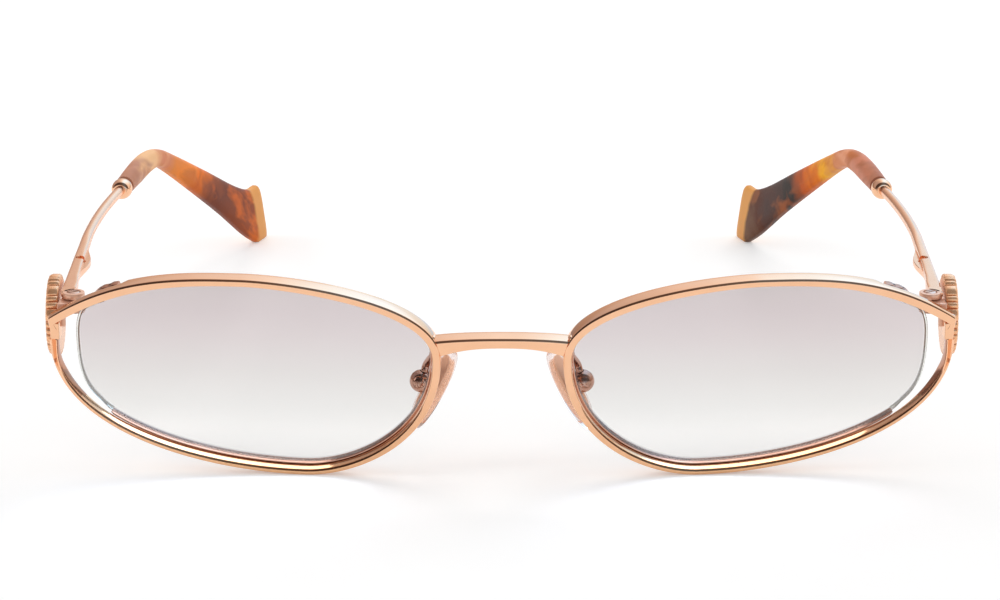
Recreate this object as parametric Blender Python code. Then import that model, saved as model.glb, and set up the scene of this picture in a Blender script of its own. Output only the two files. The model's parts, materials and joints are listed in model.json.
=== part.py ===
"""Oval metal sunglasses with swept-out lower rims, tinted lenses, screw-on nose pads and acetate tips.

X runs across the face, Y from the front to the tips, Z up. The glasses stand open on a table, on the
lowest points of both rims and on the flat heels of both tips.
"""
import math

import bmesh
import bpy
from mathutils import Matrix, Vector

MM = 0.001

# Fits between pieces
SEAM = 0.12 * MM            # solder seams and seats
PLAY = 0.2 * MM             # running play in hinges and bores

# How the front stands: it leans towards the viewer at the top and bows round the face
LEAN = math.radians(8.0)
BOW_RADIUS = 500.0 * MM

# Rim outline on the front face, as across and height: four extreme points and how far each curve reaches
RIM_NOSE = (9.3 * MM, 20.0 * MM)
RIM_TOP = (39.8 * MM, 32.9 * MM)
RIM_BOTTOM = (30.4 * MM, 0.0)
RIM_LOOP_END = (69.6 * MM, 21.4 * MM)
BLADE_CORNER = (69.5 * MM, 25.2 * MM)
BLADE_TIP = (69.45 * MM, 23.3 * MM)
REACH_LOOP = (16.5 * MM, 13.7 * MM)
REACH_BOTTOM_NOSE = (8.4 * MM, 13.8 * MM)
REACH_NOSE_TOP = (10.4 * MM, 6.4 * MM)
REACH_TOP_BLADE = (10.4 * MM, 12.5 * MM)
REACH_BLADE_TIP = (0.6 * MM, 1.2 * MM)
BLADE_SLOPE = math.radians(-35.0)
TIP_SLOPE = math.radians(-100.0)

# Front face width and depth of the rim wire along the outline
LOOP_END_WIDTH = 1.3 * MM
LOOP_WIDTH = 0.8 * MM
BOTTOM_WIDTH = 0.9 * MM
NOSE_WIDTH = 1.4 * MM
TOP_WIDTH = 1.15 * MM
BLADE_WIDTH = 1.45 * MM
TIP_WIDTH = 0.3 * MM
RIM_DEPTH = 2.8 * MM
LOOP_DEPTH = 2.4 * MM
LOOP_DEPTH_OPEN = 2.0 * MM          # where the eyewire's open end lies
NOSE_DEPTH = 3.1 * MM
LOOP_END_DEPTH = 1.6 * MM
BLADE_DEPTH = 1.9 * MM
TIP_DEPTH = 1.1 * MM
RIM_CHAMFER = 0.2 * MM
RIM_STEPS = (15, 10, 11, 14, 3)     # stations on the loop, bottom, nose, top and tip curves

# Eyewire: the inner strip with a ridge for the lens groove
EYEWIRE_WALL = 0.42 * MM
EYEWIRE_FRONT = 1.8 * MM
EYEWIRE_DEPTH = 1.9 * MM
RIDGE_HEIGHT = 0.4 * MM
RIDGE_WIDTH = 0.4 * MM
HELD_START = 0.36            # where the eyewire leaves the loop curve, as a share of that curve
HELD_TO = 0.76               # where it ends on the top curve

# Lens
LENS_THICKNESS = 1.8 * MM
LENS_SIDE = (66.0 * MM, 20.9 * MM)   # outermost point of the bare edge
REACH_LENS_UPPER = (3.0 * MM, 5.6 * MM)
REACH_LENS_LOWER = (6.5 * MM, 5.0 * MM)
LENS_BEVEL = 0.3 * MM
LENS_RING = 0.55             # share of the outline at which the faces have an inner ring
BARE_STEPS = 7
THREAD_DIAMETER = 0.5 * MM
THREAD_START = 0.35          # share of the first and last stretch of bare edge that it leaves free

# Thread anchor behind the upper rim
ANCHOR_FROM = 0.65           # where it begins on the top curve
ANCHOR_LENGTH = 3.6 * MM
ANCHOR_HEIGHT = 1.2 * MM
ANCHOR_DEPTH = 1.6 * MM
ANCHOR_HOLE = 0.5 * MM
ANCHOR_HOLES = (0.3, 0.62)   # places of its two holes, as shares of its length
ANCHOR_SLOPE = 0.6           # share of its length at which its end begins to slope down
ANCHOR_END = 0.55            # share of its height that is left at the end

# Bridge
BRIDGE_TOP = 23.7 * MM
BRIDGE_TOP_ENDS = 23.2 * MM
BRIDGE_UNDER = 22.1 * MM
BRIDGE_UNDER_ENDS = 20.7 * MM
BRIDGE_DEPTH = 3.0 * MM
BRIDGE_SET_BACK = 0.1 * MM
BRIDGE_STEPS = 14

# End block, rosette and hinge
BLOCK_WIDTH = 1.4 * MM
BLOCK_HEIGHT = 1.6 * MM
BLOCK_INSET = 0.2 * MM               # inside the outermost point of the rims
BLOCK_SET_BACK = 0.15 * MM
ROSETTE_RADIUS = 6.3 * MM
ROSETTE_THICKNESS = 1.9 * MM
ROSETTE_GROUPS = 9                   # each a wide lobe and two narrow ones
WIDE_LOBE = 0.5                      # share of its group
LOBE_DEPTH = 0.5 * MM
LOBE_FADE = 0.6                      # share of that depth left on the outer face
LOBE_POINTS = (4, 3, 3)
ROSETTE_TURN = math.radians(24.4)    # first notch, from the top towards the viewer
ROSETTE_EDGE = 0.5 * MM              # slope round its outer face
ROSETTE_STEP = 0.35 * MM             # sunk middle
ROSETTE_SHOULDER = 0.8               # share of its thickness at which the edge begins to slope
ROSETTE_FLAT = 0.62                  # inner edge of the raised ring, as a share of its radius
ROSETTE_SUNK = 0.55                  # edge of the sunk middle
ROSETTE_INSET = 1.15 * MM            # its inner face, inside the outermost point of the rims
ROSETTE_BACK = 9.1 * MM              # centre, behind the lowest point of the rims
ROSETTE_UP = 23.3 * MM
BAR_GAP = 0.3 * MM                   # between rosette and temple bar
HINGE_INSET = 2.05 * MM              # hinge axis, inside the temple bar's outer face
HINGE_BACK = 5.6 * MM
KNUCKLE_RADIUS = 1.7 * MM
TOP_EYE = 0.9 * MM
MIDDLE_KNUCKLE = 1.0 * MM
LOWER_EYE = 0.8 * MM
TEMPLE_TOP = 28.0 * MM
ROSETTE_FACE = RIM_LOOP_END[0] - ROSETTE_INSET
BAR_FACE = ROSETTE_FACE - BAR_GAP    # outer face of the bar near the hinge
HINGE_ACROSS = BAR_FACE - HINGE_INSET
HINGE_SCREW_RADIUS = 0.45 * MM
HINGE_HEAD_RADIUS = 0.95 * MM
HINGE_HEAD_HEIGHT = 0.35 * MM
HEAD_SLOT = 0.25 * MM
HEAD_SLOT_DEPTH = 0.15 * MM
HEAD_SLOT_TURN = math.radians(35.0)
LEAF_THICKNESS = 1.1 * MM
LEAF_HEIGHT = 3.7 * MM
STRAP_INSET = 0.2 * MM               # its inner side, outward of the hinge axis
STRAP_ROOT = 0.11 * MM               # its outer side, inside the riser's outer face
SLIVER = 0.02 * MM                   # keeps joined faces from lying in one plane

# Temple bar
BAR_WIDTH_HINGE = 2.2 * MM
BAR_WIDTH_MIDDLE = 1.7 * MM
BAR_WIDTH_WAIST = 1.84 * MM
BAR_HEIGHT_WAIST = 1.9 * MM          # height of the strip behind the hinge fork
BAR_HEIGHT_MIDDLE = 1.5 * MM
FORK_ROOT = 1.3 * MM                 # length of the solid part that joins both eyes
NECK_INSET = 0.12 * MM               # sides of the neck between an eye and the strip, inside the strip
BAR_WIRE_RADIUS = 0.85 * MM
BAR_WIRE_DROP = 0.5 * MM             # wire's middle line, below the top of the flat strip
BAR_WIRE_HEIGHT = TEMPLE_TOP - BAR_WIRE_DROP
BAR_STRAIGHT_END = 35.0 * MM         # where the temple begins to curve in
BAR_CURVE_RADIUS = 185.0 * MM
BAR_CURVE_END = 92.0 * MM
BAR_NARROW = 22.0 * MM               # where the strip is narrowest
BAR_SOFT = 32.0 * MM                 # where it begins to turn into a round wire
BAR_ROUND = 40.0 * MM                # where the wire is round
CORE_RADIUS = 0.55 * MM
CORE_END = 116.0 * MM
CORE_STEPS = 12
WIRE_STEPS = 5
EAR_PLACE = 24.8 * MM
EAR_LENGTH = 14.0 * MM
EAR_REACH = 1.0 * MM
EAR_THICKNESS = 0.9 * MM
EAR_DROP = 0.7 * MM                  # its top face, below the top of the strip
EAR_ROOT = 0.6 * MM                  # how far it reaches into the strip
EAR_HOLE_RADIUS = 0.8 * MM
EAR_HOLE_INSET = 0.5 * MM            # hole centre, outward of the strip's inner edge
EAR_HOLE_AHEAD = 0.3 * MM            # hole centre, nearer the hinge than the ear's middle

# Collar and tip
COLLAR_PLACE = 67.6 * MM
COLLAR_RADIUS = 1.75 * MM
COLLAR_LENGTH = 3.0 * MM
COLLAR_CROWN = 0.82                  # how round its outside is: 1 for a ball, 0 for a plain tube
TIP_UPPER = ((69.4 * MM, 29.2 * MM), (75.5 * MM, 30.1 * MM), (81.0 * MM, 30.3 * MM),
             (86.5 * MM, 29.4 * MM), (93.0 * MM, 26.6 * MM), (107.0 * MM, 19.9 * MM),
             (119.0 * MM, 14.0 * MM), (126.0 * MM, 11.3 * MM), (130.0 * MM, 11.0 * MM))
TIP_LOWER = ((69.4 * MM, 26.0 * MM), (75.5 * MM, 26.2 * MM), (81.0 * MM, 26.7 * MM),
             (85.2 * MM, 26.5 * MM), (90.0 * MM, 24.4 * MM), (103.0 * MM, 16.6 * MM),
             (114.0 * MM, 9.8 * MM), (124.0 * MM, 3.2 * MM), (130.0 * MM, -0.2 * MM))
TIP_END_UPPER = (130.6 * MM, 10.6 * MM)
TIP_END_LOWER = (134.4 * MM, -0.3 * MM)
TIP_THICKNESS_START = 3.2 * MM
TIP_THICKNESS_END = 2.2 * MM
TIP_STATIONS = 18

# Nose pads, right side
BALL_CENTRE = (12.55 * MM, 5.4 * MM, 13.7 * MM)
BALL_RADIUS = 1.8 * MM
BALL_FLAT = 1.25 * MM
PAD_FRONTAL = math.radians(28.5)
PAD_SPLAY = math.radians(20.0)
PAD_LENGTH = 14.2 * MM
PAD_WIDTH = 7.6 * MM
PAD_THICKNESS = 2.0 * MM
PAD_DROP = 0.7 * MM                  # how far the pad's middle lies below its screw
PAD_ROCK_PLAY = 0.65 * MM
CORE_PLATE = (8.0 * MM, 3.6 * MM, 0.5 * MM)
LUG_THICKNESS = 0.7 * MM
LUG_RADIUS = 0.75 * MM
PAD_SCREW_RADIUS = 0.3 * MM
PAD_HEAD_RADIUS = 0.6 * MM
PAD_HEAD_HEIGHT = 0.3 * MM
PAD_HEAD_RECESS = 0.2 * MM
PAD_PLAY = 0.15 * MM
PAD_SCREW_SHORT = 0.3 * MM           # its end, inside the back of the ball
ARM_RADIUS = 0.5 * MM
ARM_ROOT_UP = 19.4 * MM              # where it leaves the rim
ARM_FIRST_BEND = (0.4 * MM, 1.1 * MM, 0.1 * MM)      # from the rim
ARM_LAST_BEND = (-0.1 * MM, -0.4 * MM, 1.3 * MM)     # from the ball
ARM_SEAT_WAY = (-0.3, -0.15, 0.94)   # where it meets the ball, as a direction from the ball's middle


def clear_scene():
    for item in list(bpy.data.objects):
        bpy.data.objects.remove(item, do_unlink=True)


def material(name, color, metallic, roughness, alpha=1.0):
    made = bpy.data.materials.get(name)
    if made:
        return made
    made = bpy.data.materials.new(name)
    made.use_nodes = True
    shader = made.node_tree.nodes["Principled BSDF"]
    shader.inputs["Base Color"].default_value = (*color, 1.0)
    shader.inputs["Metallic"].default_value = metallic
    shader.inputs["Roughness"].default_value = roughness
    shader.inputs["Alpha"].default_value = alpha
    return made


def rose_gold():
    return material("rose_gold", (0.86, 0.55, 0.40), 1.0, 0.18)


def steel():
    return material("screw_steel", (0.62, 0.58, 0.55), 1.0, 0.3)


def acetate():
    return material("acetate", (0.55, 0.24, 0.09), 0.0, 0.3)


def tinted():
    return material("lens_tint", (0.62, 0.58, 0.60), 0.0, 0.03, 0.5)


def silicone():
    return material("silicone", (0.93, 0.86, 0.85), 0.0, 0.35, 0.6)


def nylon():
    return material("nylon", (0.88, 0.90, 0.87), 0.0, 0.3, 0.8)


def finish(name, bm, look, smooth_angle=35.0):
    """Turns a bmesh into a closed, outward-facing object."""
    bmesh.ops.recalc_face_normals(bm, faces=bm.faces)
    mesh = bpy.data.meshes.new(name)
    bm.to_mesh(mesh)
    bm.free()
    made = bpy.data.objects.new(name, mesh)
    bpy.context.scene.collection.objects.link(made)
    mesh.materials.append(look)
    mesh.shade_smooth()
    mesh.set_sharp_from_angle(angle=math.radians(smooth_angle))
    return made


def cut(target, cutter, how="DIFFERENCE"):
    """Applies a boolean to the target's mesh and drops the cutter."""
    step = target.modifiers.new(how.lower(), "BOOLEAN")
    step.object = cutter
    step.operation = how
    step.solver = "EXACT"
    shape = target.evaluated_get(bpy.context.evaluated_depsgraph_get())
    mesh = bpy.data.meshes.new_from_object(shape)
    target.modifiers.clear()
    target.data = mesh
    bpy.data.objects.remove(cutter, do_unlink=True)


def loft(rings, closed=False):
    """Skins a list of equal rings of points, capped at both ends unless closed."""
    bm = bmesh.new()
    rows = [[bm.verts.new(point) for point in ring] for ring in rings]
    count = len(rows[0])
    pairs = list(zip(rows, rows[1:]))
    if closed:
        pairs.append((rows[-1], rows[0]))
    for one, two in pairs:
        for i in range(count):
            j = (i + 1) % count
            bm.faces.new((one[i], one[j], two[j], two[i]))
    if not closed:
        bm.faces.new(rows[0])
        bm.faces.new(rows[-1])
    return bm


def circle(centre, one, two, radius, count):
    turn = 2.0 * math.pi / count
    return [centre + one * (radius * math.cos(i * turn)) + two * (radius * math.sin(i * turn))
            for i in range(count)]


def across_pair(axis, hint):
    """Two unit vectors square to an axis, the first as near as can be to the hint."""
    axis = axis.normalized()
    one = (hint - axis * hint.dot(axis)).normalized()
    return one, axis.cross(one)


def rod(start, end, radii, count, hint=Vector((1.0, 0.0, 0.0))):
    """Round rod whose radius changes at steps: radii is a list of (share of length, radius)."""
    axis = end - start
    one, two = across_pair(axis, hint)
    return loft([circle(start + axis * share, one, two, radius, count) for share, radius in radii])


def block(low, high):
    bm = bmesh.new()
    size = [h - l for l, h in zip(low, high)]
    middle = [(l + h) / 2.0 for l, h in zip(low, high)]
    bmesh.ops.create_cube(bm, size=1.0)
    bmesh.ops.scale(bm, vec=size, verts=bm.verts)
    bmesh.ops.translate(bm, vec=middle, verts=bm.verts)
    return bm


def bezier(curve, share):
    a, b, c, d = curve
    rest = 1.0 - share
    parts = (rest ** 3, 3.0 * rest * rest * share, 3.0 * rest * share * share, share ** 3)
    return sum((Vector(p) * k for p, k in zip((a, b, c, d), parts)), Vector((0.0, 0.0)))


def bezier_way(curve, share):
    """Unit direction of travel on a curve."""
    a, b, c, d = (Vector(p) for p in curve)
    rest = 1.0 - share
    way = (b - a) * (rest * rest) + (c - b) * (2.0 * rest * share) + (d - c) * (share * share)
    return way.normalized()


def reach(start, start_way, start_reach, end, end_way, end_reach):
    """Curve that leaves start along start_way and arrives at end along end_way."""
    start, end = Vector(start), Vector(end)
    return (start, start + Vector(start_way) * start_reach, end - Vector(end_way) * end_reach, end)


def smooth_through(points, share):
    """Smooth curve through a row of points, share 0 to 1 along the row."""
    place = share * (len(points) - 1)
    i = min(int(place), len(points) - 2)
    t = place - i
    p1, p2 = Vector(points[i]), Vector(points[i + 1])
    p0 = Vector(points[i - 1]) if i else p1 * 2.0 - p2
    p3 = Vector(points[i + 2]) if i + 2 < len(points) else p2 * 2.0 - p1
    return 0.5 * (2.0 * p1 + (p2 - p0) * t + (2.0 * p0 - 5.0 * p1 + 4.0 * p2 - p3) * t * t
                  + (3.0 * p1 - p0 - 3.0 * p2 + p3) * t ** 3)


def eased(keys, place):
    """Value at a place between keys of (place, value), easing in and out of each key."""
    if place <= keys[0][0]:
        return keys[0][1]
    for (a, low), (b, high) in zip(keys, keys[1:]):
        if place <= b:
            t = (place - a) / (b - a)
            return low + (high - low) * t * t * (3.0 - 2.0 * t)
    return keys[-1][1]


def front_point(across, up, depth, side=1.0):
    """A point of the bowed, leaning front: depth runs back from its face."""
    bow = math.asin(across / BOW_RADIUS)
    rest = math.asin(RIM_BOTTOM[0] / BOW_RADIUS)
    x = (BOW_RADIUS - depth) * math.sin(bow)
    y = BOW_RADIUS * math.cos(rest) - (BOW_RADIUS - depth) * math.cos(bow)
    return Vector((side * x, y * math.cos(LEAN) - up * math.sin(LEAN),
                   up * math.cos(LEAN) + y * math.sin(LEAN)))


def way(angle):
    return (math.cos(angle), math.sin(angle))


DOWN, LEFT, UP, RIGHT = (0.0, -1.0), (-1.0, 0.0), (0.0, 1.0), (1.0, 0.0)
LOOP_CURVE = reach(RIM_LOOP_END, DOWN, REACH_LOOP[0], RIM_BOTTOM, LEFT, REACH_LOOP[1])
BOTTOM_CURVE = reach(RIM_BOTTOM, LEFT, REACH_BOTTOM_NOSE[0], RIM_NOSE, UP, REACH_BOTTOM_NOSE[1])
NOSE_CURVE = reach(RIM_NOSE, UP, REACH_NOSE_TOP[0], RIM_TOP, RIGHT, REACH_NOSE_TOP[1])
TOP_CURVE = reach(RIM_TOP, RIGHT, REACH_TOP_BLADE[0], BLADE_CORNER, way(BLADE_SLOPE), REACH_TOP_BLADE[1])
TIP_CURVE = reach(BLADE_CORNER, way(BLADE_SLOPE), REACH_BLADE_TIP[0], BLADE_TIP, way(TIP_SLOPE),
                  REACH_BLADE_TIP[1])
TIP_INNER_START = Vector(BLADE_CORNER) + Vector(way(BLADE_SLOPE - math.pi / 2.0)) * BLADE_WIDTH
TIP_INNER_END = (BLADE_TIP[0] - TIP_WIDTH, BLADE_TIP[1])
TIP_INNER_CURVE = reach(TIP_INNER_START, way(BLADE_SLOPE), TIP_WIDTH, TIP_INNER_END, way(BLADE_SLOPE),
                        TIP_WIDTH)
RIM_CURVES = (LOOP_CURVE, BOTTOM_CURVE, NOSE_CURVE, TOP_CURVE, TIP_CURVE)
HELD_END = 3.0 + HELD_TO
WIDTH_KEYS = ((0.0, LOOP_END_WIDTH), (0.12, LOOP_WIDTH), (1.0, BOTTOM_WIDTH), (2.0, NOSE_WIDTH),
              (3.0, TOP_WIDTH), (3.85, BLADE_WIDTH))
SHOULDER = 3.0 + ANCHOR_FROM - 0.01
DEPTH_KEYS = ((0.0, LOOP_END_DEPTH), (0.14, LOOP_DEPTH), (HELD_START, LOOP_DEPTH_OPEN), (0.6, LOOP_DEPTH),
              (1.0, RIM_DEPTH), (2.4, NOSE_DEPTH), (3.0, RIM_DEPTH), (SHOULDER - 0.05, RIM_DEPTH),
              (SHOULDER, BLADE_DEPTH), (4.0, BLADE_DEPTH), (5.0, TIP_DEPTH))


def rim_at(place):
    """Outer edge of the rim and its inward direction at a place: whole numbers are the curves' joints."""
    if place > 4.0:
        outer = bezier(TIP_CURVE, place - 4.0)
        return outer, (bezier(TIP_INNER_CURVE, place - 4.0) - outer).normalized()
    curve = RIM_CURVES[int(place)]
    share = place - int(place)
    travel = bezier_way(curve, share)
    return bezier(curve, share), Vector((travel.y, -travel.x))


def rim_places(first, last):
    """Stations of the rim between two places, both ends included."""
    places = [i + k / steps for i, steps in enumerate(RIM_STEPS) for k in range(steps)] + [5.0]
    inside = [p for p in places if first + 0.01 < p < last - 0.01]
    return [first] + inside + [last]


def rim_ring(place, profile, side):
    """Maps a profile of (inward, depth) pairs onto the front at a place of the rim."""
    edge, inward = rim_at(place)
    return [front_point(*(edge + inward * a), depth, side) for a, depth in profile]


def rim_width(place):
    if place > 4.0:
        return (bezier(TIP_INNER_CURVE, place - 4.0) - bezier(TIP_CURVE, place - 4.0)).length
    return eased(WIDTH_KEYS, place)


def ribbon(width, depth, chamfer):
    c = min(chamfer, width * 0.3)
    return [(c, 0.0), (width - c, 0.0), (width, c), (width, depth - c), (width - c, depth),
            (c, depth), (0.0, depth - c), (0.0, c)]


def outer_rim(name, side):
    rings = [rim_ring(p, ribbon(rim_width(p), eased(DEPTH_KEYS, p), RIM_CHAMFER), side)
             for p in rim_places(0.0, 5.0)]
    return finish(name, loft(rings), rose_gold())


def eyewire_start(place):
    return rim_width(place) + SEAM


def lens_inset(place):
    return eyewire_start(place) + EYEWIRE_WALL + SEAM


GROOVE_MIDDLE = EYEWIRE_FRONT + EYEWIRE_DEPTH / 2.0
GROOVE_WIDTH = RIDGE_WIDTH + 2.0 * PLAY
GROOVE_DEPTH = RIDGE_HEIGHT + PLAY
LENS_FRONT = GROOVE_MIDDLE - LENS_THICKNESS / 2.0


def eyewire(name, side):
    back = EYEWIRE_FRONT + EYEWIRE_DEPTH
    near, far = GROOVE_MIDDLE - RIDGE_WIDTH / 2.0, GROOVE_MIDDLE + RIDGE_WIDTH / 2.0
    rings = []
    for p in rim_places(HELD_START, HELD_END):
        a = eyewire_start(p)
        b = a + EYEWIRE_WALL
        c = b + SEAM + RIDGE_HEIGHT
        profile = [(a, EYEWIRE_FRONT), (b, EYEWIRE_FRONT), (b, near), (c, near), (c, far), (b, far),
                   (b, back), (a, back)]
        rings.append(rim_ring(p, profile, side))
    return finish(name, loft(rings), rose_gold())


def lens_outline():
    """Lens edge with inward directions: held stations first, then the bare temple side."""
    edge = []
    for p in rim_places(HELD_START, HELD_END):
        point, inward = rim_at(p)
        edge.append((point + inward * lens_inset(p), inward))
    first, last = edge[0], edge[-1]
    last_way = Vector((-last[1].y, last[1].x))
    first_way = Vector((-first[1].y, first[1].x))
    upper = reach(last[0], last_way, REACH_LENS_UPPER[0], LENS_SIDE, DOWN, REACH_LENS_UPPER[1])
    lower = reach(LENS_SIDE, DOWN, REACH_LENS_LOWER[0], first[0], first_way, REACH_LENS_LOWER[1])
    bare = []
    for curve, steps in ((upper, BARE_STEPS), (lower, BARE_STEPS)):
        for k in range(steps):
            travel = bezier_way(curve, k / steps)
            bare.append((bezier(curve, k / steps), Vector((travel.y, -travel.x))))
    return edge, bare[1:]


def lens(name, side):
    held, bare = lens_outline()
    edge = held + bare
    near, far = GROOVE_MIDDLE - GROOVE_WIDTH / 2.0, GROOVE_MIDDLE + GROOVE_WIDTH / 2.0
    back = LENS_FRONT + LENS_THICKNESS
    profile = [(LENS_BEVEL, LENS_FRONT), (0.0, LENS_FRONT + LENS_BEVEL), (0.0, near), (GROOVE_DEPTH, near),
               (GROOVE_DEPTH, far), (0.0, far), (0.0, back - LENS_BEVEL), (LENS_BEVEL, back)]
    middle = sum((p for p, _ in edge), Vector((0.0, 0.0))) / len(edge)

    def ring(inset, depth, share=1.0):
        return [front_point(*(middle + (p + n * inset - middle) * share), depth, side) for p, n in edge]

    rings = [ring(LENS_BEVEL, LENS_FRONT, LENS_RING)]
    rings += [ring(inset, depth) for inset, depth in profile]
    rings += [ring(LENS_BEVEL, back, LENS_RING)]
    bm = loft(rings)
    wide = [f for f in bm.faces if len(f.verts) > 4]
    bmesh.ops.poke(bm, faces=wide)
    return finish(name, bm, tinted())


def lens_thread(name, side):
    held, bare = lens_outline()
    points = [held[-1]] + bare + [held[0]]
    count = len(points)
    start = Vector(points[0][0]).lerp(Vector(points[1][0]), THREAD_START)
    end = Vector(points[-1][0]).lerp(Vector(points[-2][0]), THREAD_START)
    points[0] = (start, points[0][1])
    points[-1] = (end, points[-1][1])
    inset = GROOVE_DEPTH - PLAY - THREAD_DIAMETER / 2.0
    rings = []
    for i in range(count):
        point, inward = points[i]
        turn = 2.0 * math.pi / 6
        rings.append([front_point(*(point + inward * (inset + THREAD_DIAMETER / 2.0 * math.cos(k * turn))),
                                  GROOVE_MIDDLE + THREAD_DIAMETER / 2.0 * math.sin(k * turn), side)
                      for k in range(6)])
    return finish(name, loft(rings), nylon(), 70.0)


def place_by_length(start, length):
    """The place that lies a length further along the rim's outer edge."""
    place, step = start, 0.005
    run = 0.0
    point = rim_at(place)[0]
    while run < abs(length):
        place += math.copysign(step, length)
        nearer = rim_at(place)[0]
        run += (nearer - point).length
        point = nearer
    return place


def thread_anchor(name, side):
    """Small block behind the blade, with two cross holes for the ends of the thread."""
    first = 3.0 + ANCHOR_FROM
    last = place_by_length(first, ANCHOR_LENGTH)
    low, high = BLADE_DEPTH + SEAM, BLADE_DEPTH + SEAM + ANCHOR_DEPTH
    rings = []
    for k in range(6):
        share = k / 5.0
        slope = max(0.0, (share - ANCHOR_SLOPE) / (1.0 - ANCHOR_SLOPE)) ** 2
        top = ANCHOR_HEIGHT * (1.0 - ANCHOR_END) * slope
        profile = [(top, low), (ANCHOR_HEIGHT, low), (ANCHOR_HEIGHT, high), (top, high)]
        rings.append(rim_ring(first + (last - first) * share, profile, side))
    made = finish(name, loft(rings), rose_gold())
    for share in ANCHOR_HOLES:
        edge, inward = rim_at(first + (last - first) * share)
        middle = (low + high) / 2.0
        top = front_point(*(edge - inward * MM), middle, side)
        under = front_point(*(edge + inward * (ANCHOR_HEIGHT + MM)), middle, side)
        cutter = finish("hole", rod(top, under, ((0.0, ANCHOR_HOLE / 2.0), (1.0, ANCHOR_HOLE / 2.0)), 8),
                        rose_gold())
        cut(made, cutter)
    return made


def rim_side_at(up):
    """How far across the rim's nose side lies at a height."""
    low, high = 0.0, 1.0
    for _ in range(40):
        middle = (low + high) / 2.0
        if bezier(NOSE_CURVE, middle).y < up:
            low = middle
        else:
            high = middle
    return bezier(NOSE_CURVE, low).x


def bridge():
    """Flat-faced bar that deepens into both rims, its ends cut to their outline."""
    rings = []
    for k in range(BRIDGE_STEPS + 1):
        share = 2.0 * k / BRIDGE_STEPS - 1.0
        bend = abs(share) ** 2.4
        top = BRIDGE_TOP + (BRIDGE_TOP_ENDS - BRIDGE_TOP) * bend
        under = BRIDGE_UNDER + (BRIDGE_UNDER_ENDS - BRIDGE_UNDER) * bend
        c = RIM_CHAMFER
        front, back = BRIDGE_SET_BACK, BRIDGE_SET_BACK + BRIDGE_DEPTH
        section = [(top, front + c), (top - c, front), (under + c, front), (under, front + c),
                   (under, back - c), (under + c, back), (top - c, back), (top, back - c)]
        rings.append([front_point(share * (rim_side_at(up) - SEAM), up, depth) for up, depth in section])
    return finish("bridge", loft(rings), rose_gold())


def mirrored_block(low, high, side):
    xs = sorted((side * low[0], side * high[0]))
    return block((xs[0], low[1], low[2]), (xs[1], high[1], high[2]))


def end_block(name, side):
    """Block between loop and blade: it reaches back to the front of the rosette."""
    outer = RIM_LOOP_END[0] - BLOCK_INSET
    low = RIM_LOOP_END[1] + SEAM
    free = ROSETTE_BACK - ROSETTE_RADIUS - SEAM - front_point(outer, low, BLOCK_SET_BACK).y
    back = BLOCK_SET_BACK + free / math.cos(LEAN)
    plan = [(outer - BLOCK_WIDTH, BLOCK_SET_BACK), (outer, BLOCK_SET_BACK), (outer, back),
            (outer - BLOCK_WIDTH, back)]
    face = loft([[front_point(x, up, depth, side) for x, depth in plan] for up in (low, low + BLOCK_HEIGHT)])
    return finish(name, face, rose_gold())


def lobe_places():
    """Angle, from the top towards the viewer, and height along the edge: 0 in a notch, 1 on a lobe."""
    group = 2.0 * math.pi / ROSETTE_GROUPS
    narrow = (1.0 - WIDE_LOBE) / 2.0
    made = []
    for g in range(ROSETTE_GROUPS):
        start = ROSETTE_TURN + g * group
        for share, count in zip((WIDE_LOBE, narrow, narrow), LOBE_POINTS):
            made += [(start + share * group * k / count, min(1.0, 1.25 * math.sin(math.pi * k / count)))
                     for k in range(count)]
            start += share * group
    return made


def rosette(name, side):
    """Scalloped disc on the outside of the end piece, stepped and domed towards its middle."""
    centre = Vector((side * ROSETTE_FACE, ROSETTE_BACK, ROSETTE_UP))
    out = Vector((side, 0.0, 0.0))
    edge = lobe_places()

    def ring(radius, height, depth):
        made = []
        for angle, lobe in edge:
            r = radius - depth * (1.0 - lobe)
            made.append(centre + out * height + Vector((0.0, -r * math.sin(angle), r * math.cos(angle))))
        return made

    rim, top = ROSETTE_RADIUS, ROSETTE_THICKNESS
    rings = [ring(rim, 0.0, LOBE_DEPTH), ring(rim, top * ROSETTE_SHOULDER, LOBE_DEPTH),
             ring(rim - ROSETTE_EDGE, top, LOBE_DEPTH * LOBE_FADE), ring(rim * ROSETTE_FLAT, top, 0.0),
             ring(rim * ROSETTE_SUNK, top - ROSETTE_STEP, 0.0)]
    return finish(name, loft(rings), rose_gold())


EYE_TOP = TEMPLE_TOP
KNUCKLE_TOP = EYE_TOP - TOP_EYE - PLAY
KNUCKLE_FOOT = KNUCKLE_TOP - MIDDLE_KNUCKLE
LOWER_EYE_TOP = KNUCKLE_FOOT - PLAY
BARREL_FOOT = LOWER_EYE_TOP - LOWER_EYE
BORE_RADIUS = HINGE_SCREW_RADIUS + PLAY


def upright(radius, low, high, count, side):
    """Round post on the hinge axis."""
    start = Vector((side * HINGE_ACROSS, HINGE_BACK, low))
    return rod(start, start + Vector((0.0, 0.0, high - low)), ((0.0, radius), (1.0, radius)), count)


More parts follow.
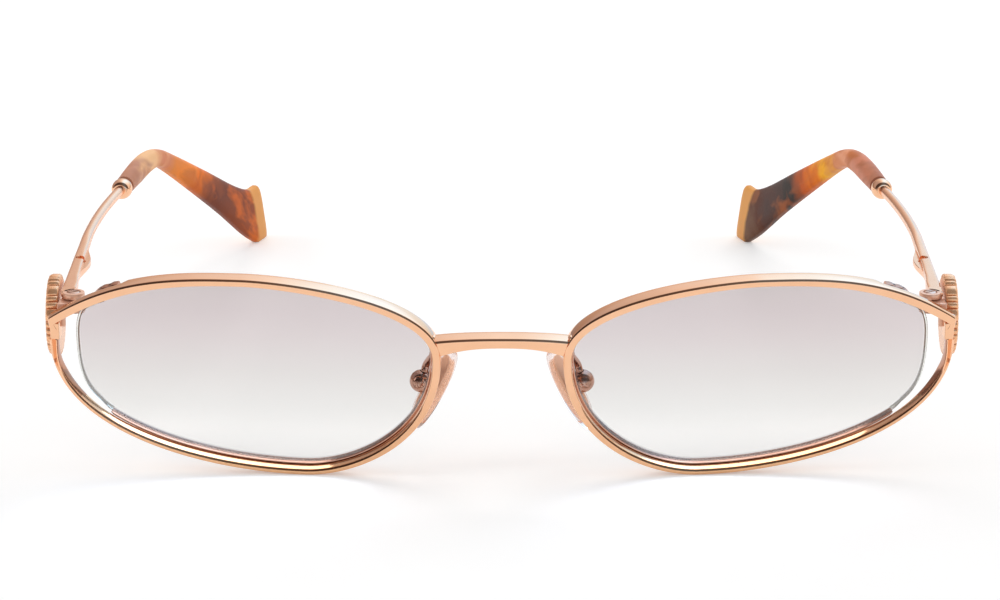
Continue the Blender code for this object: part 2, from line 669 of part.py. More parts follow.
def hinge_leaf(name, side):
    """Front half of the hinge: a riser on the rosette's inner face and the middle knuckle."""
    outer = ROSETTE_FACE - SEAM
    front = ROSETTE_BACK - ROSETTE_RADIUS
    back = HINGE_BACK - KNUCKLE_RADIUS - PLAY
    foot = KNUCKLE_TOP - LEAF_HEIGHT
    riser = mirrored_block((outer - LEAF_THICKNESS, front, foot), (outer, back, KNUCKLE_TOP), side)
    made = finish(name, riser, rose_gold())
    strap = mirrored_block((HINGE_ACROSS + STRAP_INSET, front + SEAM, KNUCKLE_FOOT),
                           (outer - STRAP_ROOT, HINGE_BACK, KNUCKLE_TOP - SLIVER), side)
    cut(made, finish("strap", strap, rose_gold()), "UNION")
    barrel = upright(KNUCKLE_RADIUS, KNUCKLE_FOOT + SLIVER / 2.0, KNUCKLE_TOP - SLIVER / 2.0, 18, side)
    cut(made, finish("barrel", barrel, rose_gold()), "UNION")
    bore = upright(BORE_RADIUS, KNUCKLE_FOOT - MM, KNUCKLE_TOP + MM, 12, side)
    cut(made, finish("bore", bore, rose_gold()))
    return made


def hinge_screw(name, side):
    """Slotted screw: its head lies flush in the top eye."""
    axis = Vector((side * HINGE_ACROSS, HINGE_BACK, 0.0))
    up = Vector((0.0, 0.0, 1.0))
    one, two = Vector((1.0, 0.0, 0.0)), Vector((0.0, 1.0, 0.0))
    under = EYE_TOP - HINGE_HEAD_HEIGHT
    levels = ((BARREL_FOOT, HINGE_SCREW_RADIUS), (under, HINGE_SCREW_RADIUS), (under, HINGE_HEAD_RADIUS),
              (EYE_TOP, HINGE_HEAD_RADIUS))
    bm = loft([circle(axis + up * z, one, two, r, 16) for z, r in levels])
    made = finish(name, bm, steel())
    slot = block((-KNUCKLE_RADIUS, -HEAD_SLOT / 2.0, -HEAD_SLOT_DEPTH),
                 (KNUCKLE_RADIUS, HEAD_SLOT / 2.0, HEAD_SLOT_DEPTH))
    turn = Matrix.Translation(axis + up * EYE_TOP) @ Matrix.Rotation(HEAD_SLOT_TURN, 4, "Z")
    bmesh.ops.transform(slot, matrix=turn, verts=slot.verts)
    cut(made, finish("slot", slot, steel()))
    return made


def bar_middle(y):
    """How far across the temple's outer line lies at a depth, straight first, then curving in."""
    if y <= BAR_STRAIGHT_END:
        return BAR_FACE
    inside = min(y, BAR_CURVE_END) - BAR_STRAIGHT_END
    across = BAR_FACE - BAR_CURVE_RADIUS + math.sqrt(BAR_CURVE_RADIUS ** 2 - inside ** 2)
    if y > BAR_CURVE_END:
        across -= math.tan(math.asin(inside / BAR_CURVE_RADIUS)) * (y - BAR_CURVE_END)
    return across


def temple_line(y):
    """Middle line of the temple wire in plan, and its direction of travel."""
    a, b = bar_middle(y - 0.1 * MM), bar_middle(y + 0.1 * MM)
    travel = Vector((b - a, 0.2 * MM, 0.0)).normalized()
    outward = Vector((travel.y, -travel.x, 0.0))
    return Vector((bar_middle(y), y, 0.0)) - outward * BAR_WIRE_RADIUS, travel, outward


def flip(points, side):
    return [Vector((side * p.x, p.y, p.z)) for p in points]


def squared_ring(middle, outward, up, half_width, half_height, power, count=12):
    """Ring between an ellipse (power 2) and a rectangle (high power)."""
    made = []
    for i in range(count):
        angle = 2.0 * math.pi * (i + 0.5) / count
        c, s = math.cos(angle), math.sin(angle)
        reach_c = math.copysign(abs(c) ** (2.0 / power), c)
        reach_s = math.copysign(abs(s) ** (2.0 / power), s)
        made.append(middle + outward * (half_width * reach_c) + up * (half_height * reach_s))
    return made


def tip_middle(share):
    return (smooth_through(TIP_UPPER, share) + smooth_through(TIP_LOWER, share)) / 2.0


def core_route():
    """Middle points of the core wire inside the tip, as (y, z) pairs."""
    points = [tip_middle(k / CORE_STEPS) for k in range(CORE_STEPS + 1)]
    first = COLLAR_PLACE + COLLAR_LENGTH / 2.0 + MM
    return [(p.x, p.y) for p in points if first < p.x < CORE_END]


def temple_bar(name, side):
    """Hinge fork, flat strip, round wire and core wire, with a drilled ear on the inner side."""
    up = Vector((0.0, 0.0, 1.0))
    fork_back = HINGE_BACK + KNUCKLE_RADIUS + PLAY
    strip = BAR_WIDTH_HINGE
    thin, thick = TEMPLE_TOP - BAR_HEIGHT_MIDDLE, TEMPLE_TOP - BAR_HEIGHT_WAIST
    sections = (
        (fork_back, strip, BARREL_FOOT, 8.0),
        (fork_back + FORK_ROOT, strip, BARREL_FOOT, 8.0),
        (fork_back + 2.0 * FORK_ROOT, strip, thick, 8.0),
        (fork_back + 5.0 * FORK_ROOT, BAR_WIDTH_WAIST, thin, 6.0),
        (BAR_NARROW, BAR_WIDTH_MIDDLE, thin, 5.0),
        (BAR_SOFT, BAR_WIDTH_MIDDLE, thin, 3.0),
    )
    rings = []
    for y, width, foot, power in sections:
        line, _, outward = temple_line(y)
        face = line + outward * BAR_WIRE_RADIUS
        middle = face - outward * (width / 2.0) + up * ((TEMPLE_TOP + foot) / 2.0)
        rings.append(squared_ring(middle, outward, up, width / 2.0, (TEMPLE_TOP - foot) / 2.0, power))
    wire_end = COLLAR_PLACE + COLLAR_LENGTH / 2.0
    for k in range(WIRE_STEPS + 1):
        line, _, outward = temple_line(BAR_ROUND + (wire_end - BAR_ROUND) * k / WIRE_STEPS)
        rings.append(squared_ring(line + up * BAR_WIRE_HEIGHT, outward, up, BAR_WIRE_RADIUS,
                                  BAR_WIRE_RADIUS, 2.0))
    for y, z in [(wire_end + SEAM / 2.0, BAR_WIRE_HEIGHT)] + core_route():
        line, _, outward = temple_line(y)
        rings.append(squared_ring(line + up * z, outward, up, CORE_RADIUS, CORE_RADIUS, 2.0))
    made = finish(name, loft([flip(ring, side) for ring in rings]), rose_gold())
    for low, high in ((LOWER_EYE_TOP - LOWER_EYE, LOWER_EYE_TOP), (EYE_TOP - TOP_EYE, EYE_TOP)):
        eye = finish("eye", upright(KNUCKLE_RADIUS, low + SLIVER, high - SLIVER, 18, side), rose_gold())
        neck = mirrored_block((BAR_FACE - strip + NECK_INSET, HINGE_BACK, low + SLIVER),
                              (BAR_FACE - NECK_INSET, fork_back + FORK_ROOT / 2.0, high - SLIVER), side)
        cut(eye, finish("neck", neck, rose_gold()), "UNION")
        cut(made, eye, "UNION")
    add_ear(made, side)
    bore = upright(BORE_RADIUS, BARREL_FOOT - MM, EYE_TOP + MM, 12, side)
    cut(made, finish("bore", bore, rose_gold()))
    seat = upright(HINGE_HEAD_RADIUS + PLAY, EYE_TOP - HINGE_HEAD_HEIGHT - PLAY, EYE_TOP + MM, 16, side)
    cut(made, finish("seat", seat, rose_gold()))
    return made


def add_ear(bar, side):
    """Leaf-shaped ear below the strip's inner edge, drilled through."""
    top = TEMPLE_TOP - EAR_DROP
    inner = BAR_FACE - BAR_WIDTH_MIDDLE
    outline = []
    for k in range(13):
        share = k / 12.0
        swell = math.sin(math.pi * share) ** 1.5
        outline.append((inner - EAR_REACH * swell, EAR_PLACE - EAR_LENGTH / 2.0 + EAR_LENGTH * share))
    outline += [(inner + EAR_ROOT, outline[-1][1]), (inner + EAR_ROOT, outline[0][1])]
    rings = [[Vector((side * x, y, z)) for x, y in outline] for z in (top - EAR_THICKNESS, top)]
    cut(bar, finish("ear", loft(rings), rose_gold()), "UNION")
    across, along = side * (inner + EAR_HOLE_INSET), EAR_PLACE - EAR_HOLE_AHEAD
    start = Vector((across, along, TEMPLE_TOP - BAR_HEIGHT_WAIST - MM))
    end = Vector((across, along, TEMPLE_TOP + MM))
    hole = rod(start, end, ((0.0, EAR_HOLE_RADIUS), (1.0, EAR_HOLE_RADIUS)), 12)
    cut(bar, finish("hole", hole, rose_gold()))


def temple_collar(name, side):
    """Ball-shaped ring that the wire runs through."""
    up = Vector((0.0, 0.0, 1.0))
    line, travel, outward = temple_line(COLLAR_PLACE)
    centre = line + up * BAR_WIRE_HEIGHT
    bore = BAR_WIRE_RADIUS + PLAY
    half = COLLAR_LENGTH / 2.0
    steps = 6
    outer = []
    for k in range(steps + 1):
        along = -half + COLLAR_LENGTH * k / steps
        outer.append((along, math.sqrt(COLLAR_RADIUS ** 2 - (along * COLLAR_CROWN) ** 2)))
    profile = outer + [(half, bore), (-half, bore)]
    rings = [flip(circle(centre + travel * along, outward, up, radius, 14), side)
             for along, radius in profile]
    return finish(name, loft(rings, closed=True), rose_gold())


def temple_tip(name, side):
    """Bent acetate tip that flares to a fishtail with a flat heel, bored for the core wire."""
    up = Vector((0.0, 0.0, 1.0))
    start_y = COLLAR_PLACE + COLLAR_LENGTH / 2.0 + SEAM
    floor = RIM_CHAMFER * math.sin(LEAN)
    rings = []
    for k in range(TIP_STATIONS + 1):
        share = k / TIP_STATIONS
        high, low = smooth_through(TIP_UPPER, share), smooth_through(TIP_LOWER, share)
        if k == 0:
            high.x = low.x = start_y
        thick = TIP_THICKNESS_START + (TIP_THICKNESS_END - TIP_THICKNESS_START) * share
        rings.append(tip_ring(high, low, thick, 2.0 + 1.6 * share))
    rings.append(tip_ring(Vector(TIP_END_UPPER), Vector(TIP_END_LOWER), TIP_THICKNESS_END * 0.8, 3.6))
    for point in (p for ring in rings for p in ring):
        point.z = max(point.z, floor)
    rings.reverse()
    bore = CORE_RADIUS + PLAY
    route = core_route()
    end_y, end_z = route[-1]
    drop = (route[-2][1] - end_z) / (end_y - route[-2][0])
    route.append((end_y + PLAY, end_z - drop * PLAY))
    for y, z in [(start_y, BAR_WIRE_HEIGHT)] + route:
        line, _, outward = temple_line(y)
        rings.append(squared_ring(line + up * z, outward, up, bore, bore, 2.0))
    return finish(name, loft([flip(ring, side) for ring in rings]), acetate())


def tip_ring(high, low, thick, power):
    """Ring of the tip between an upper and a lower point of its side outline."""
    middle = (high + low) / 2.0
    line, _, outward = temple_line(middle.x)
    rise = high - low
    up_way = Vector((0.0, rise.x, rise.y))
    top, _, _ = temple_line(high.x)
    foot, _, _ = temple_line(low.x)
    up_way.x = top.x - foot.x
    centre = (top + foot) / 2.0
    centre.y, centre.z = middle.x, middle.y
    half = up_way.length / 2.0
    return squared_ring(centre, outward, up_way.normalized(), thick / 2.0, half, power)


def pad_axes():
    """Directions of the right pad: up its length, back over its width, and out of its face to the nose."""
    along = Vector((-math.sin(PAD_FRONTAL), 0.0, math.cos(PAD_FRONTAL)))
    flat = Vector((-math.cos(PAD_FRONTAL), 0.0, -math.sin(PAD_FRONTAL)))
    back = Vector((0.0, 1.0, 0.0))
    face = flat * math.cos(PAD_SPLAY) + back * math.sin(PAD_SPLAY)
    over = back * math.cos(PAD_SPLAY) - flat * math.sin(PAD_SPLAY)
    return along, over, face


def pad_middle():
    along, _, face = pad_axes()
    out = BALL_FLAT + PAD_ROCK_PLAY + PAD_THICKNESS / 2.0
    return Vector(BALL_CENTRE) + face * out - along * PAD_DROP


def nose_pad(name, side):
    """Soft oval pad, hollowed at the back for its core plate."""
    along, over, face = pad_axes()
    centre = pad_middle()
    half = PAD_THICKNESS / 2.0
    levels = ((-1.0, 0.86), (-0.75, 0.97), (0.0, 1.0), (0.55, 0.93), (0.85, 0.72), (1.0, 0.4))
    rings = [squared_ring(centre + face * (half * level), over, along, PAD_WIDTH / 2.0 * share,
                  PAD_LENGTH / 2.0 * share, 2.15, 28) for level, share in levels]
    made = finish(name, loft([flip(ring, side) for ring in rings]), silicone(), 60.0)
    length, width, thick = (v + 2.0 * SEAM for v in CORE_PLATE)
    floor = -half + thick
    pocket = [squared_ring(centre + face * level, over, along, width / 2.0, length / 2.0, 2.6, 20)
              for level in (-half - MM, floor)]
    cut(made, finish("pocket", loft([flip(ring, side) for ring in pocket]), silicone()))
    return made


def pad_core(name, side):
    """Metal plate in the pad's back with the lug that the box grips."""
    along, over, face = pad_axes()
    centre = pad_middle()
    length, width, thick = CORE_PLATE
    low = -PAD_THICKNESS / 2.0 + SEAM
    plate = [squared_ring(centre + face * level, over, along, width / 2.0, length / 2.0, 2.6, 20)
             for level in (low, low + thick)]
    made = finish(name, loft([flip(ring, side) for ring in plate]), rose_gold())
    ball = Vector(BALL_CENTRE)
    back = Vector((0.0, 1.0, 0.0))
    inward, lift = across_pair(back, face)
    shape = [ball + lift * LUG_RADIUS, ball - inward * LUG_RADIUS * 0.7 + lift * LUG_RADIUS * 0.7,
             ball - inward * LUG_RADIUS, ball - inward * LUG_RADIUS * 0.7 - lift * LUG_RADIUS * 0.7,
             ball - lift * LUG_RADIUS]
    root = BALL_FLAT + PAD_ROCK_PLAY + SEAM + thick / 2.0
    shape += [ball + inward * root - lift * LUG_RADIUS, ball + inward * root + lift * LUG_RADIUS]
    rings = [flip([p + back * shift for p in shape], side)
             for shift in (-LUG_THICKNESS / 2.0, LUG_THICKNESS / 2.0)]
    cut(made, finish("lug", loft(rings), rose_gold()), "UNION")
    bore = PAD_SCREW_RADIUS + PAD_PLAY
    start, end = flip([ball - back * LUG_THICKNESS, ball + back * LUG_THICKNESS], side)
    cut(made, finish("bore", rod(start, end, ((0.0, bore), (1.0, bore)), 10), rose_gold()))
    return made


def pad_box(name, side):
    """Ball-shaped box with a flat and a slot towards the pad, bored for its screw."""
    _, _, face = pad_axes()
    ball = Vector(BALL_CENTRE)
    back = Vector((0.0, 1.0, 0.0))
    inward, lift = across_pair(back, face)
    bm = bmesh.new()
    bmesh.ops.create_uvsphere(bm, u_segments=14, v_segments=8, radius=BALL_RADIUS)
    bmesh.ops.translate(bm, vec=flip([ball], side)[0], verts=bm.verts)
    made = finish(name, bm, rose_gold())

    def slab(near, far, half_lift, half_back):
        corners = [(near, -half_lift), (far, -half_lift), (far, half_lift), (near, half_lift)]
        rings = [flip([ball + inward * a + lift * b + back * shift for a, b in corners], side)
                 for shift in (-half_back, half_back)]
        return finish("slab", loft(rings), rose_gold())

    cut(made, slab(BALL_FLAT, 3.0 * BALL_RADIUS, 2.0 * BALL_RADIUS, 2.0 * BALL_RADIUS))
    cut(made, slab(-LUG_RADIUS - PLAY, 3.0 * BALL_RADIUS, 2.0 * BALL_RADIUS, LUG_THICKNESS / 2.0 + PLAY))
    ends = [ball - back * BALL_RADIUS * 1.5, ball + back * BALL_RADIUS * 1.5]
    start, end = flip(ends, side)
    bore = PAD_SCREW_RADIUS + PAD_PLAY
    cut(made, finish("bore", rod(start, end, ((0.0, bore), (1.0, bore)), 10), rose_gold()))
    seat_depth = PAD_HEAD_RECESS + PAD_HEAD_HEIGHT + PAD_PLAY
    ends = [ball - back * BALL_RADIUS * 1.5, ball - back * (BALL_RADIUS - seat_depth)]
    seat_start, seat_end = flip(ends, side)
    seat = PAD_HEAD_RADIUS + PAD_PLAY
    cut(made, finish("seat", rod(seat_start, seat_end, ((0.0, seat), (1.0, seat)), 14), rose_gold()))
    return made


def pad_screw(name, side):
    """Small screw along the ball, its head to the front."""
    ball = Vector(BALL_CENTRE)
    back = Vector((0.0, 1.0, 0.0))
    front = BALL_RADIUS - PAD_HEAD_RECESS
    start, end = flip([ball - back * front, ball + back * (BALL_RADIUS - PAD_SCREW_SHORT)], side)
    length = (end - start).length
    head = PAD_HEAD_HEIGHT / length
    bm = rod(start, end, ((0.0, PAD_HEAD_RADIUS * 0.85), (head * 0.4, PAD_HEAD_RADIUS),
                          (head, PAD_HEAD_RADIUS), (head, PAD_SCREW_RADIUS), (1.0, PAD_SCREW_RADIUS)), 12)
    return finish(name, bm, steel())


def pad_arm(name, side):
    """Bent wire from the back of the rim's nose side to the top of the ball."""
    ball = Vector(BALL_CENTRE)
    root = front_point(RIM_NOSE[0] + NOSE_WIDTH / 2.0, ARM_ROOT_UP, NOSE_DEPTH + SEAM + ARM_RADIUS)
    seat = ball + Vector(ARM_SEAT_WAY).normalized() * (BALL_RADIUS + SEAM)
    points = [root, root + Vector(ARM_FIRST_BEND), seat + Vector(ARM_LAST_BEND), seat]
    steps = 10
    rings = []
    for k in range(steps + 1):
        share = k / steps
        here = smooth_through(points, share)
        near = smooth_through(points, max(0.0, share - 0.02))
        far = smooth_through(points, min(1.0, share + 0.02))
        one, two = across_pair(far - near, Vector((1.0, 0.0, 0.0)))
        rings.append(circle(here, one, two, ARM_RADIUS, 8))
    return finish(name, loft([flip(ring, side) for ring in rings]), rose_gold())


def empty(name, place, parent=None):
    made = bpy.data.objects.new(name, None)
    bpy.context.scene.collection.objects.link(made)
    made.location = place
    made.parent = parent
    return made


def hang(item, parent, place):
    """Gives a mesh its origin at a place, then parents it there."""
    item.data.transform(Matrix.Translation(-Vector(place)))
    item.parent = parent


def build():
    clear_scene()
    fixed, moving = [bridge()], []
    for word, side in (("left", -1.0), ("right", 1.0)):
        fixed += [
            outer_rim(f"outer_rim_{word}", side),
            eyewire(f"eyewire_{word}", side),
            lens(f"lens_{word}", side),
            lens_thread(f"lens_thread_{word}", side),
            thread_anchor(f"thread_anchor_{word}", side),
            end_block(f"end_block_{word}", side),
            rosette(f"rosette_{word}", side),
            hinge_leaf(f"hinge_leaf_{word}", side),
            hinge_screw(f"hinge_screw_{word}", side),
            pad_arm(f"pad_arm_{word}", side),
            pad_box(f"pad_box_{word}", side),
            pad_screw(f"pad_screw_{word}", side),
        ]
        hinge = Vector((side * HINGE_ACROSS, HINGE_BACK, TEMPLE_TOP))
        moving.append((f"temple_pivot_{word}", hinge, [
            temple_bar(f"temple_bar_{word}", side),
            temple_collar(f"temple_collar_{word}", side),
            temple_tip(f"temple_tip_{word}", side),
        ]))
        ball = Vector((side * BALL_CENTRE[0], BALL_CENTRE[1], BALL_CENTRE[2]))
        moving.append((f"pad_pivot_{word}", ball, [
            nose_pad(f"nose_pad_{word}", side),
            pad_core(f"pad_core_{word}", side),
        ]))
    pieces = fixed + [item for _, _, items in moving for item in items]
    corners = [vertex.co for item in pieces for vertex in item.data.vertices]
    middle = (min(c.y for c in corners) + max(c.y for c in corners)) / 2.0
    floor = min(c.z for c in corners)
    whole = empty("sunglasses", Vector((0.0, -middle, -floor)))
    for item in fixed:
        item.parent = whole
    for name, place, items in moving:
        pivot = empty(name, place, whole)
        for item in items:
            hang(item, pivot, place)
    bpy.context.view_layer.update()


build()
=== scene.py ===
"""Looks of the oval metal sunglasses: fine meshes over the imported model, materials, light and camera."""
import json
import math

import bmesh
import bpy
from mathutils import Matrix, Vector

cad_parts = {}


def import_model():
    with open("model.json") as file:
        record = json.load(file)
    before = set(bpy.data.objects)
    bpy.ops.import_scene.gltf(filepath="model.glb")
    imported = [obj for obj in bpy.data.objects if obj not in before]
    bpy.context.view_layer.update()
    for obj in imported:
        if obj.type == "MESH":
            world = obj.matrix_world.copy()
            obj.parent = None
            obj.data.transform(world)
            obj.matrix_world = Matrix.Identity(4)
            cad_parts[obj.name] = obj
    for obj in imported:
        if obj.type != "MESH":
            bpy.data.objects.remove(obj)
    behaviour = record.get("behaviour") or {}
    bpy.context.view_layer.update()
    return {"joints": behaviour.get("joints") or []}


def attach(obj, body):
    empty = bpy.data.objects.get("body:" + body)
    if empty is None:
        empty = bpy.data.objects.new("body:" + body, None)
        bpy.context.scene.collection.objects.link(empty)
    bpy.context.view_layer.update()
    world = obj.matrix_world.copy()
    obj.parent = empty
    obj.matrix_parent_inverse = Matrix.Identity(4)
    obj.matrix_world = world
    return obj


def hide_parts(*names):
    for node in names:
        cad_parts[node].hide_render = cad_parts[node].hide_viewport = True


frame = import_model()

MM = 0.001
Y_BACK = Vector((0, 1, 0))
Z_UP = Vector((0, 0, 1))


def mm(*numbers):
    """Sizes written in mm, in the frame's metres."""
    return tuple(number * MM for number in numbers)


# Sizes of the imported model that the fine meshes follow
LEAN = math.radians(8.0)
BOW = 500.0 * MM
NOSE = mm(9.3, 20.0)
TOP = mm(39.8, 32.9)
BOTTOM = mm(30.4, 0.0)
LOOP_END = mm(69.6, 21.4)
CORNER = mm(69.5, 25.2)
BLADE_TIP = mm(69.45, 23.0)
BLADE_WIDTH, TIP_WIDTH = mm(1.5, 1.25)
CHAMFER = 0.2 * MM
EDGE_UP, EDGE_DOWN = mm(0.31, 0.08)  # front chamfers that face up and down
CROWN = 0.05 * MM
EYEWIRE_FRONT = 1.8 * MM
EYEWIRE_DEPTH = 1.9 * MM
GROOVE_MIDDLE = EYEWIRE_FRONT + EYEWIRE_DEPTH / 2.0
LENS_THICKNESS = 1.8 * MM
LENS_FRONT = GROOVE_MIDDLE - LENS_THICKNESS / 2.0
LENS_SIDE = mm(66.0, 20.9)
HINGE = mm(66.1, 5.6)
TEMPLE_TOP = 28.0 * MM
BALL = Vector(mm(12.55, 5.4, 13.7))
BALL_RADIUS = 1.8 * MM
ROSETTE = Vector(mm(68.45, 9.1, 23.3))
ROSETTE_RADIUS = 6.3 * MM
ROSETTE_THICKNESS = 1.9 * MM

# From those places to the frame, read off the right temple's hinge
fold = next(joint for joint in frame["joints"] if joint["name"] == "temple_fold_right")
SHIFT = Vector(fold["pos_m"]) - Vector((*HINGE, TEMPLE_TOP))


# Curves and rings

def bezier(curve, t):
    """Point at the share t of a cubic curve."""
    a, b, c, d = (Vector(p) for p in curve)
    s = 1.0 - t
    return a * s ** 3 + b * (3 * s * s * t) + c * (3 * s * t * t) + d * t ** 3


def bezier_way(curve, t):
    """Direction of a cubic curve at the share t."""
    a, b, c, d = (Vector(p) for p in curve)
    s = 1.0 - t
    return ((b - a) * (s * s) + (c - b) * (2 * s * t) + (d - c) * (t * t)).normalized()


def reach(start, start_way, start_reach, end, end_way, end_reach):
    """Cubic curve that leaves its start and enters its end along given ways, with handles in mm."""
    start, end = Vector(start), Vector(end)
    return (start, start + Vector(start_way) * (start_reach * MM),
            end - Vector(end_way) * (end_reach * MM), end)


def way(degrees):
    """Direction in the front view, 0 to the right and 90 upwards."""
    return (math.cos(math.radians(degrees)), math.sin(math.radians(degrees)))


def across(travel):
    """Direction a quarter turn clockwise from the direction of travel."""
    return Vector((travel.y, -travel.x))


def shares(steps):
    """Even shares from 0 to 1."""
    return [k / steps for k in range(steps + 1)]


def between(keys, place):
    """Smooth values between keyed rows (place, value, value, ...), level at each row."""
    for one, two in zip(keys, keys[1:]):
        if place <= two[0]:
            t = max(0.0, (place - one[0]) / (two[0] - one[0]))
            t = t * t * (3 - 2 * t)
            return [a + (b - a) * t for a, b in zip(one[1:], two[1:])]
    return keys[-1][1:]


def eased(keys, place):
    """Smooth value between keyed (place, value) pairs."""
    return between(keys, place)[0]


def smooth_through(points, share):
    """Point at a share of a smooth curve that goes through all the points."""
    place = share * (len(points) - 1)
    i = min(int(place), len(points) - 2)
    t = place - i
    p1, p2 = Vector(points[i]), Vector(points[i + 1])
    p0 = Vector(points[i - 1]) if i else p1 * 2 - p2
    p3 = Vector(points[i + 2]) if i + 2 < len(points) else p2 * 2 - p1
    return 0.5 * (2 * p1 + (p2 - p0) * t + (2 * p0 - 5 * p1 + 4 * p2 - p3) * t * t
                  + (3 * p1 - p0 - 3 * p2 + p3) * t ** 3)


def front_point(away, up, depth, side):
    """Place on the bowed and leaning front: away from its middle, up, and behind its face."""
    bow = math.asin(away / BOW)
    x = (BOW - depth) * math.sin(bow)
    y = BOW * math.cos(math.asin(BOTTOM[0] / BOW)) - (BOW - depth) * math.cos(bow)
    return Vector((side * x, y * math.cos(LEAN) - up * math.sin(LEAN),
                   up * math.cos(LEAN) + y * math.sin(LEAN))) + SHIFT


def placed(x, y, z, side):
    """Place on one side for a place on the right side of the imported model."""
    return Vector((side * x, y, z)) + SHIFT


def flip(points, side):
    return [placed(*p, side) for p in points]


def rounded(corners, radius, steps=2):
    """Rounds a closed outline: each corner becomes a short curve of steps + 1 points."""
    most = 0.45  # share of an edge that one corner may take
    corners = [Vector(corner) for corner in corners]
    made = []
    for last, corner, following in zip(corners[-1:] + corners, corners, corners[1:] + corners[:1]):
        before, after = last - corner, following - corner
        r = min(radius, before.length * most, after.length * most)
        a, b = corner + before.normalized() * r, corner + after.normalized() * r
        made += [a * (1 - t) ** 2 + corner * (2 * t * (1 - t)) + b * t * t for t in shares(steps)]
    return made


def loft(rings):
    """Skin over rings with equally many points, with a flat cap on both ends."""
    bm = bmesh.new()
    rows = [[bm.verts.new(p) for p in ring] for ring in rings]
    for one, two in zip(rows, rows[1:]):
        for corners in zip(one, one[1:] + one[:1], two[1:] + two[:1], two):
            bm.faces.new(corners)
    bm.faces.new(rows[0])
    bm.faces.new(rows[-1])
    return bm


def across_pair(axis, hint):
    """Two directions at right angles to an axis and to each other, the first one near a hint."""
    axis = axis.normalized()
    one = (hint - axis * hint.dot(axis)).normalized()
    return one, axis.cross(one)


def circle(centre, one, two, radius, count):
    angles = [math.tau * i / count for i in range(count)]
    return [centre + one * (radius * math.cos(a)) + two * (radius * math.sin(a)) for a in angles]


def turned(start, axis, profile, count):
    """Turns (along, radius) pairs round an axis; a radius of 0 closes to a tiny disc."""
    one, two = across_pair(axis, Vector((1, 0.01, 0.02)))
    axis = axis.normalized()
    tiny = 0.004 * MM
    return loft([circle(start + axis * a, one, two, max(r, tiny), count) for a, r in profile])


def squared_ring(middle, out, up, half_width, half_height, power, count=40):
    """Oval ring; a power of 2 makes an ellipse, and more makes it squarer."""
    made = []
    for i in range(count):
        angle = math.tau * (i + 0.5) / count
        c, s = math.cos(angle), math.sin(angle)
        made.append(middle + out * (half_width * math.copysign(abs(c) ** (2 / power), c))
                    + up * (half_height * math.copysign(abs(s) ** (2 / power), s)))
    return made


def soft_box(low, high, side, radius):
    """Upright box with rounded upright edges and softened top and bottom."""
    (inner, front, foot), (outer, back, top) = low, high
    outline = rounded([(inner, front), (outer, front), (outer, back), (inner, back)], radius, 3)
    middle = Vector(((inner + outer) / 2, (front + back) / 2))
    half = Vector(((outer - inner) / 2, (back - front) / 2))
    rings = []
    for inset, z in ((radius, foot), (0.3 * radius, foot + 0.3 * radius), (0, foot + radius),
                     (0, top - radius), (0.3 * radius, top - 0.3 * radius), (radius, top)):
        ring = []
        for p in outline:
            d = p - middle
            x, y = middle.x + d.x * (1 - inset / half.x), middle.y + d.y * (1 - inset / half.y)
            ring.append(placed(x, y, z, side))
        rings.append(ring)
    return loft(rings)


# Pieces

SHARP = 40.0  # degrees between faces from which an edge stays sharp


def add_object(name, data):
    made = bpy.data.objects.new(name, data)
    bpy.context.scene.collection.objects.link(made)
    return made


def mesh_object(name, bm):
    mesh = bpy.data.meshes.new(name)
    bm.to_mesh(mesh)
    bm.free()
    return add_object(name, mesh)


def finish_shading(made, angle):
    made.data.shade_smooth()
    made.data.set_sharp_from_angle(angle=math.radians(angle))
    made.modifiers.new("even", "WEIGHTED_NORMAL").keep_sharp = True


def piece(name, bm, look, node=None, body="front", angle=SHARP):
    """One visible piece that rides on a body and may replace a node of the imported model."""
    bmesh.ops.recalc_face_normals(bm, faces=bm.faces)
    made = mesh_object(name, bm)
    made.data.materials.append(look)
    finish_shading(made, angle)
    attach(made, body)
    if node:
        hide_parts(node)
    return made


def cut(target, bm):
    """Cuts a closed shape out of a piece."""
    bmesh.ops.recalc_face_normals(bm, faces=bm.faces)
    cutter = mesh_object("cutter", bm)
    target.modifiers.clear()
    step = target.modifiers.new("cut", "BOOLEAN")
    step.object, step.operation, step.solver = cutter, "DIFFERENCE", "EXACT"
    shape = target.evaluated_get(bpy.context.evaluated_depsgraph_get())
    mesh = bpy.data.meshes.new_from_object(shape)
    target.modifiers.clear()
    target.data = mesh
    finish_shading(target, SHARP)
    bpy.data.objects.remove(cutter, do_unlink=True)


def drill(target, start, axis, length, radius, count):
    cut(target, turned(start, axis, ((0, radius), (length, radius)), count))


def screw_slot(screw, size, place, degrees, axis):
    """Straight slot across the head of a screw, turned about its axis."""
    bm = bmesh.new()
    bmesh.ops.create_cube(bm, size=1.0)
    bmesh.ops.scale(bm, vec=size, verts=bm.verts)
    turn = Matrix.Rotation(math.radians(degrees), 4, axis)
    bmesh.ops.transform(bm, matrix=Matrix.Translation(place) @ turn, verts=bm.verts)
    cut(screw, bm)


# Materials

LOW, HIGH = 0.3, 0.7  # where a noise counts as low and as high
WHITE = (1.0, 1.0, 1.0)


def rgba(color):
    """Colour with its alpha, from three numbers or one grey level."""
    return (*color, 1.0) if isinstance(color, tuple) else (color, color, color, 1.0)


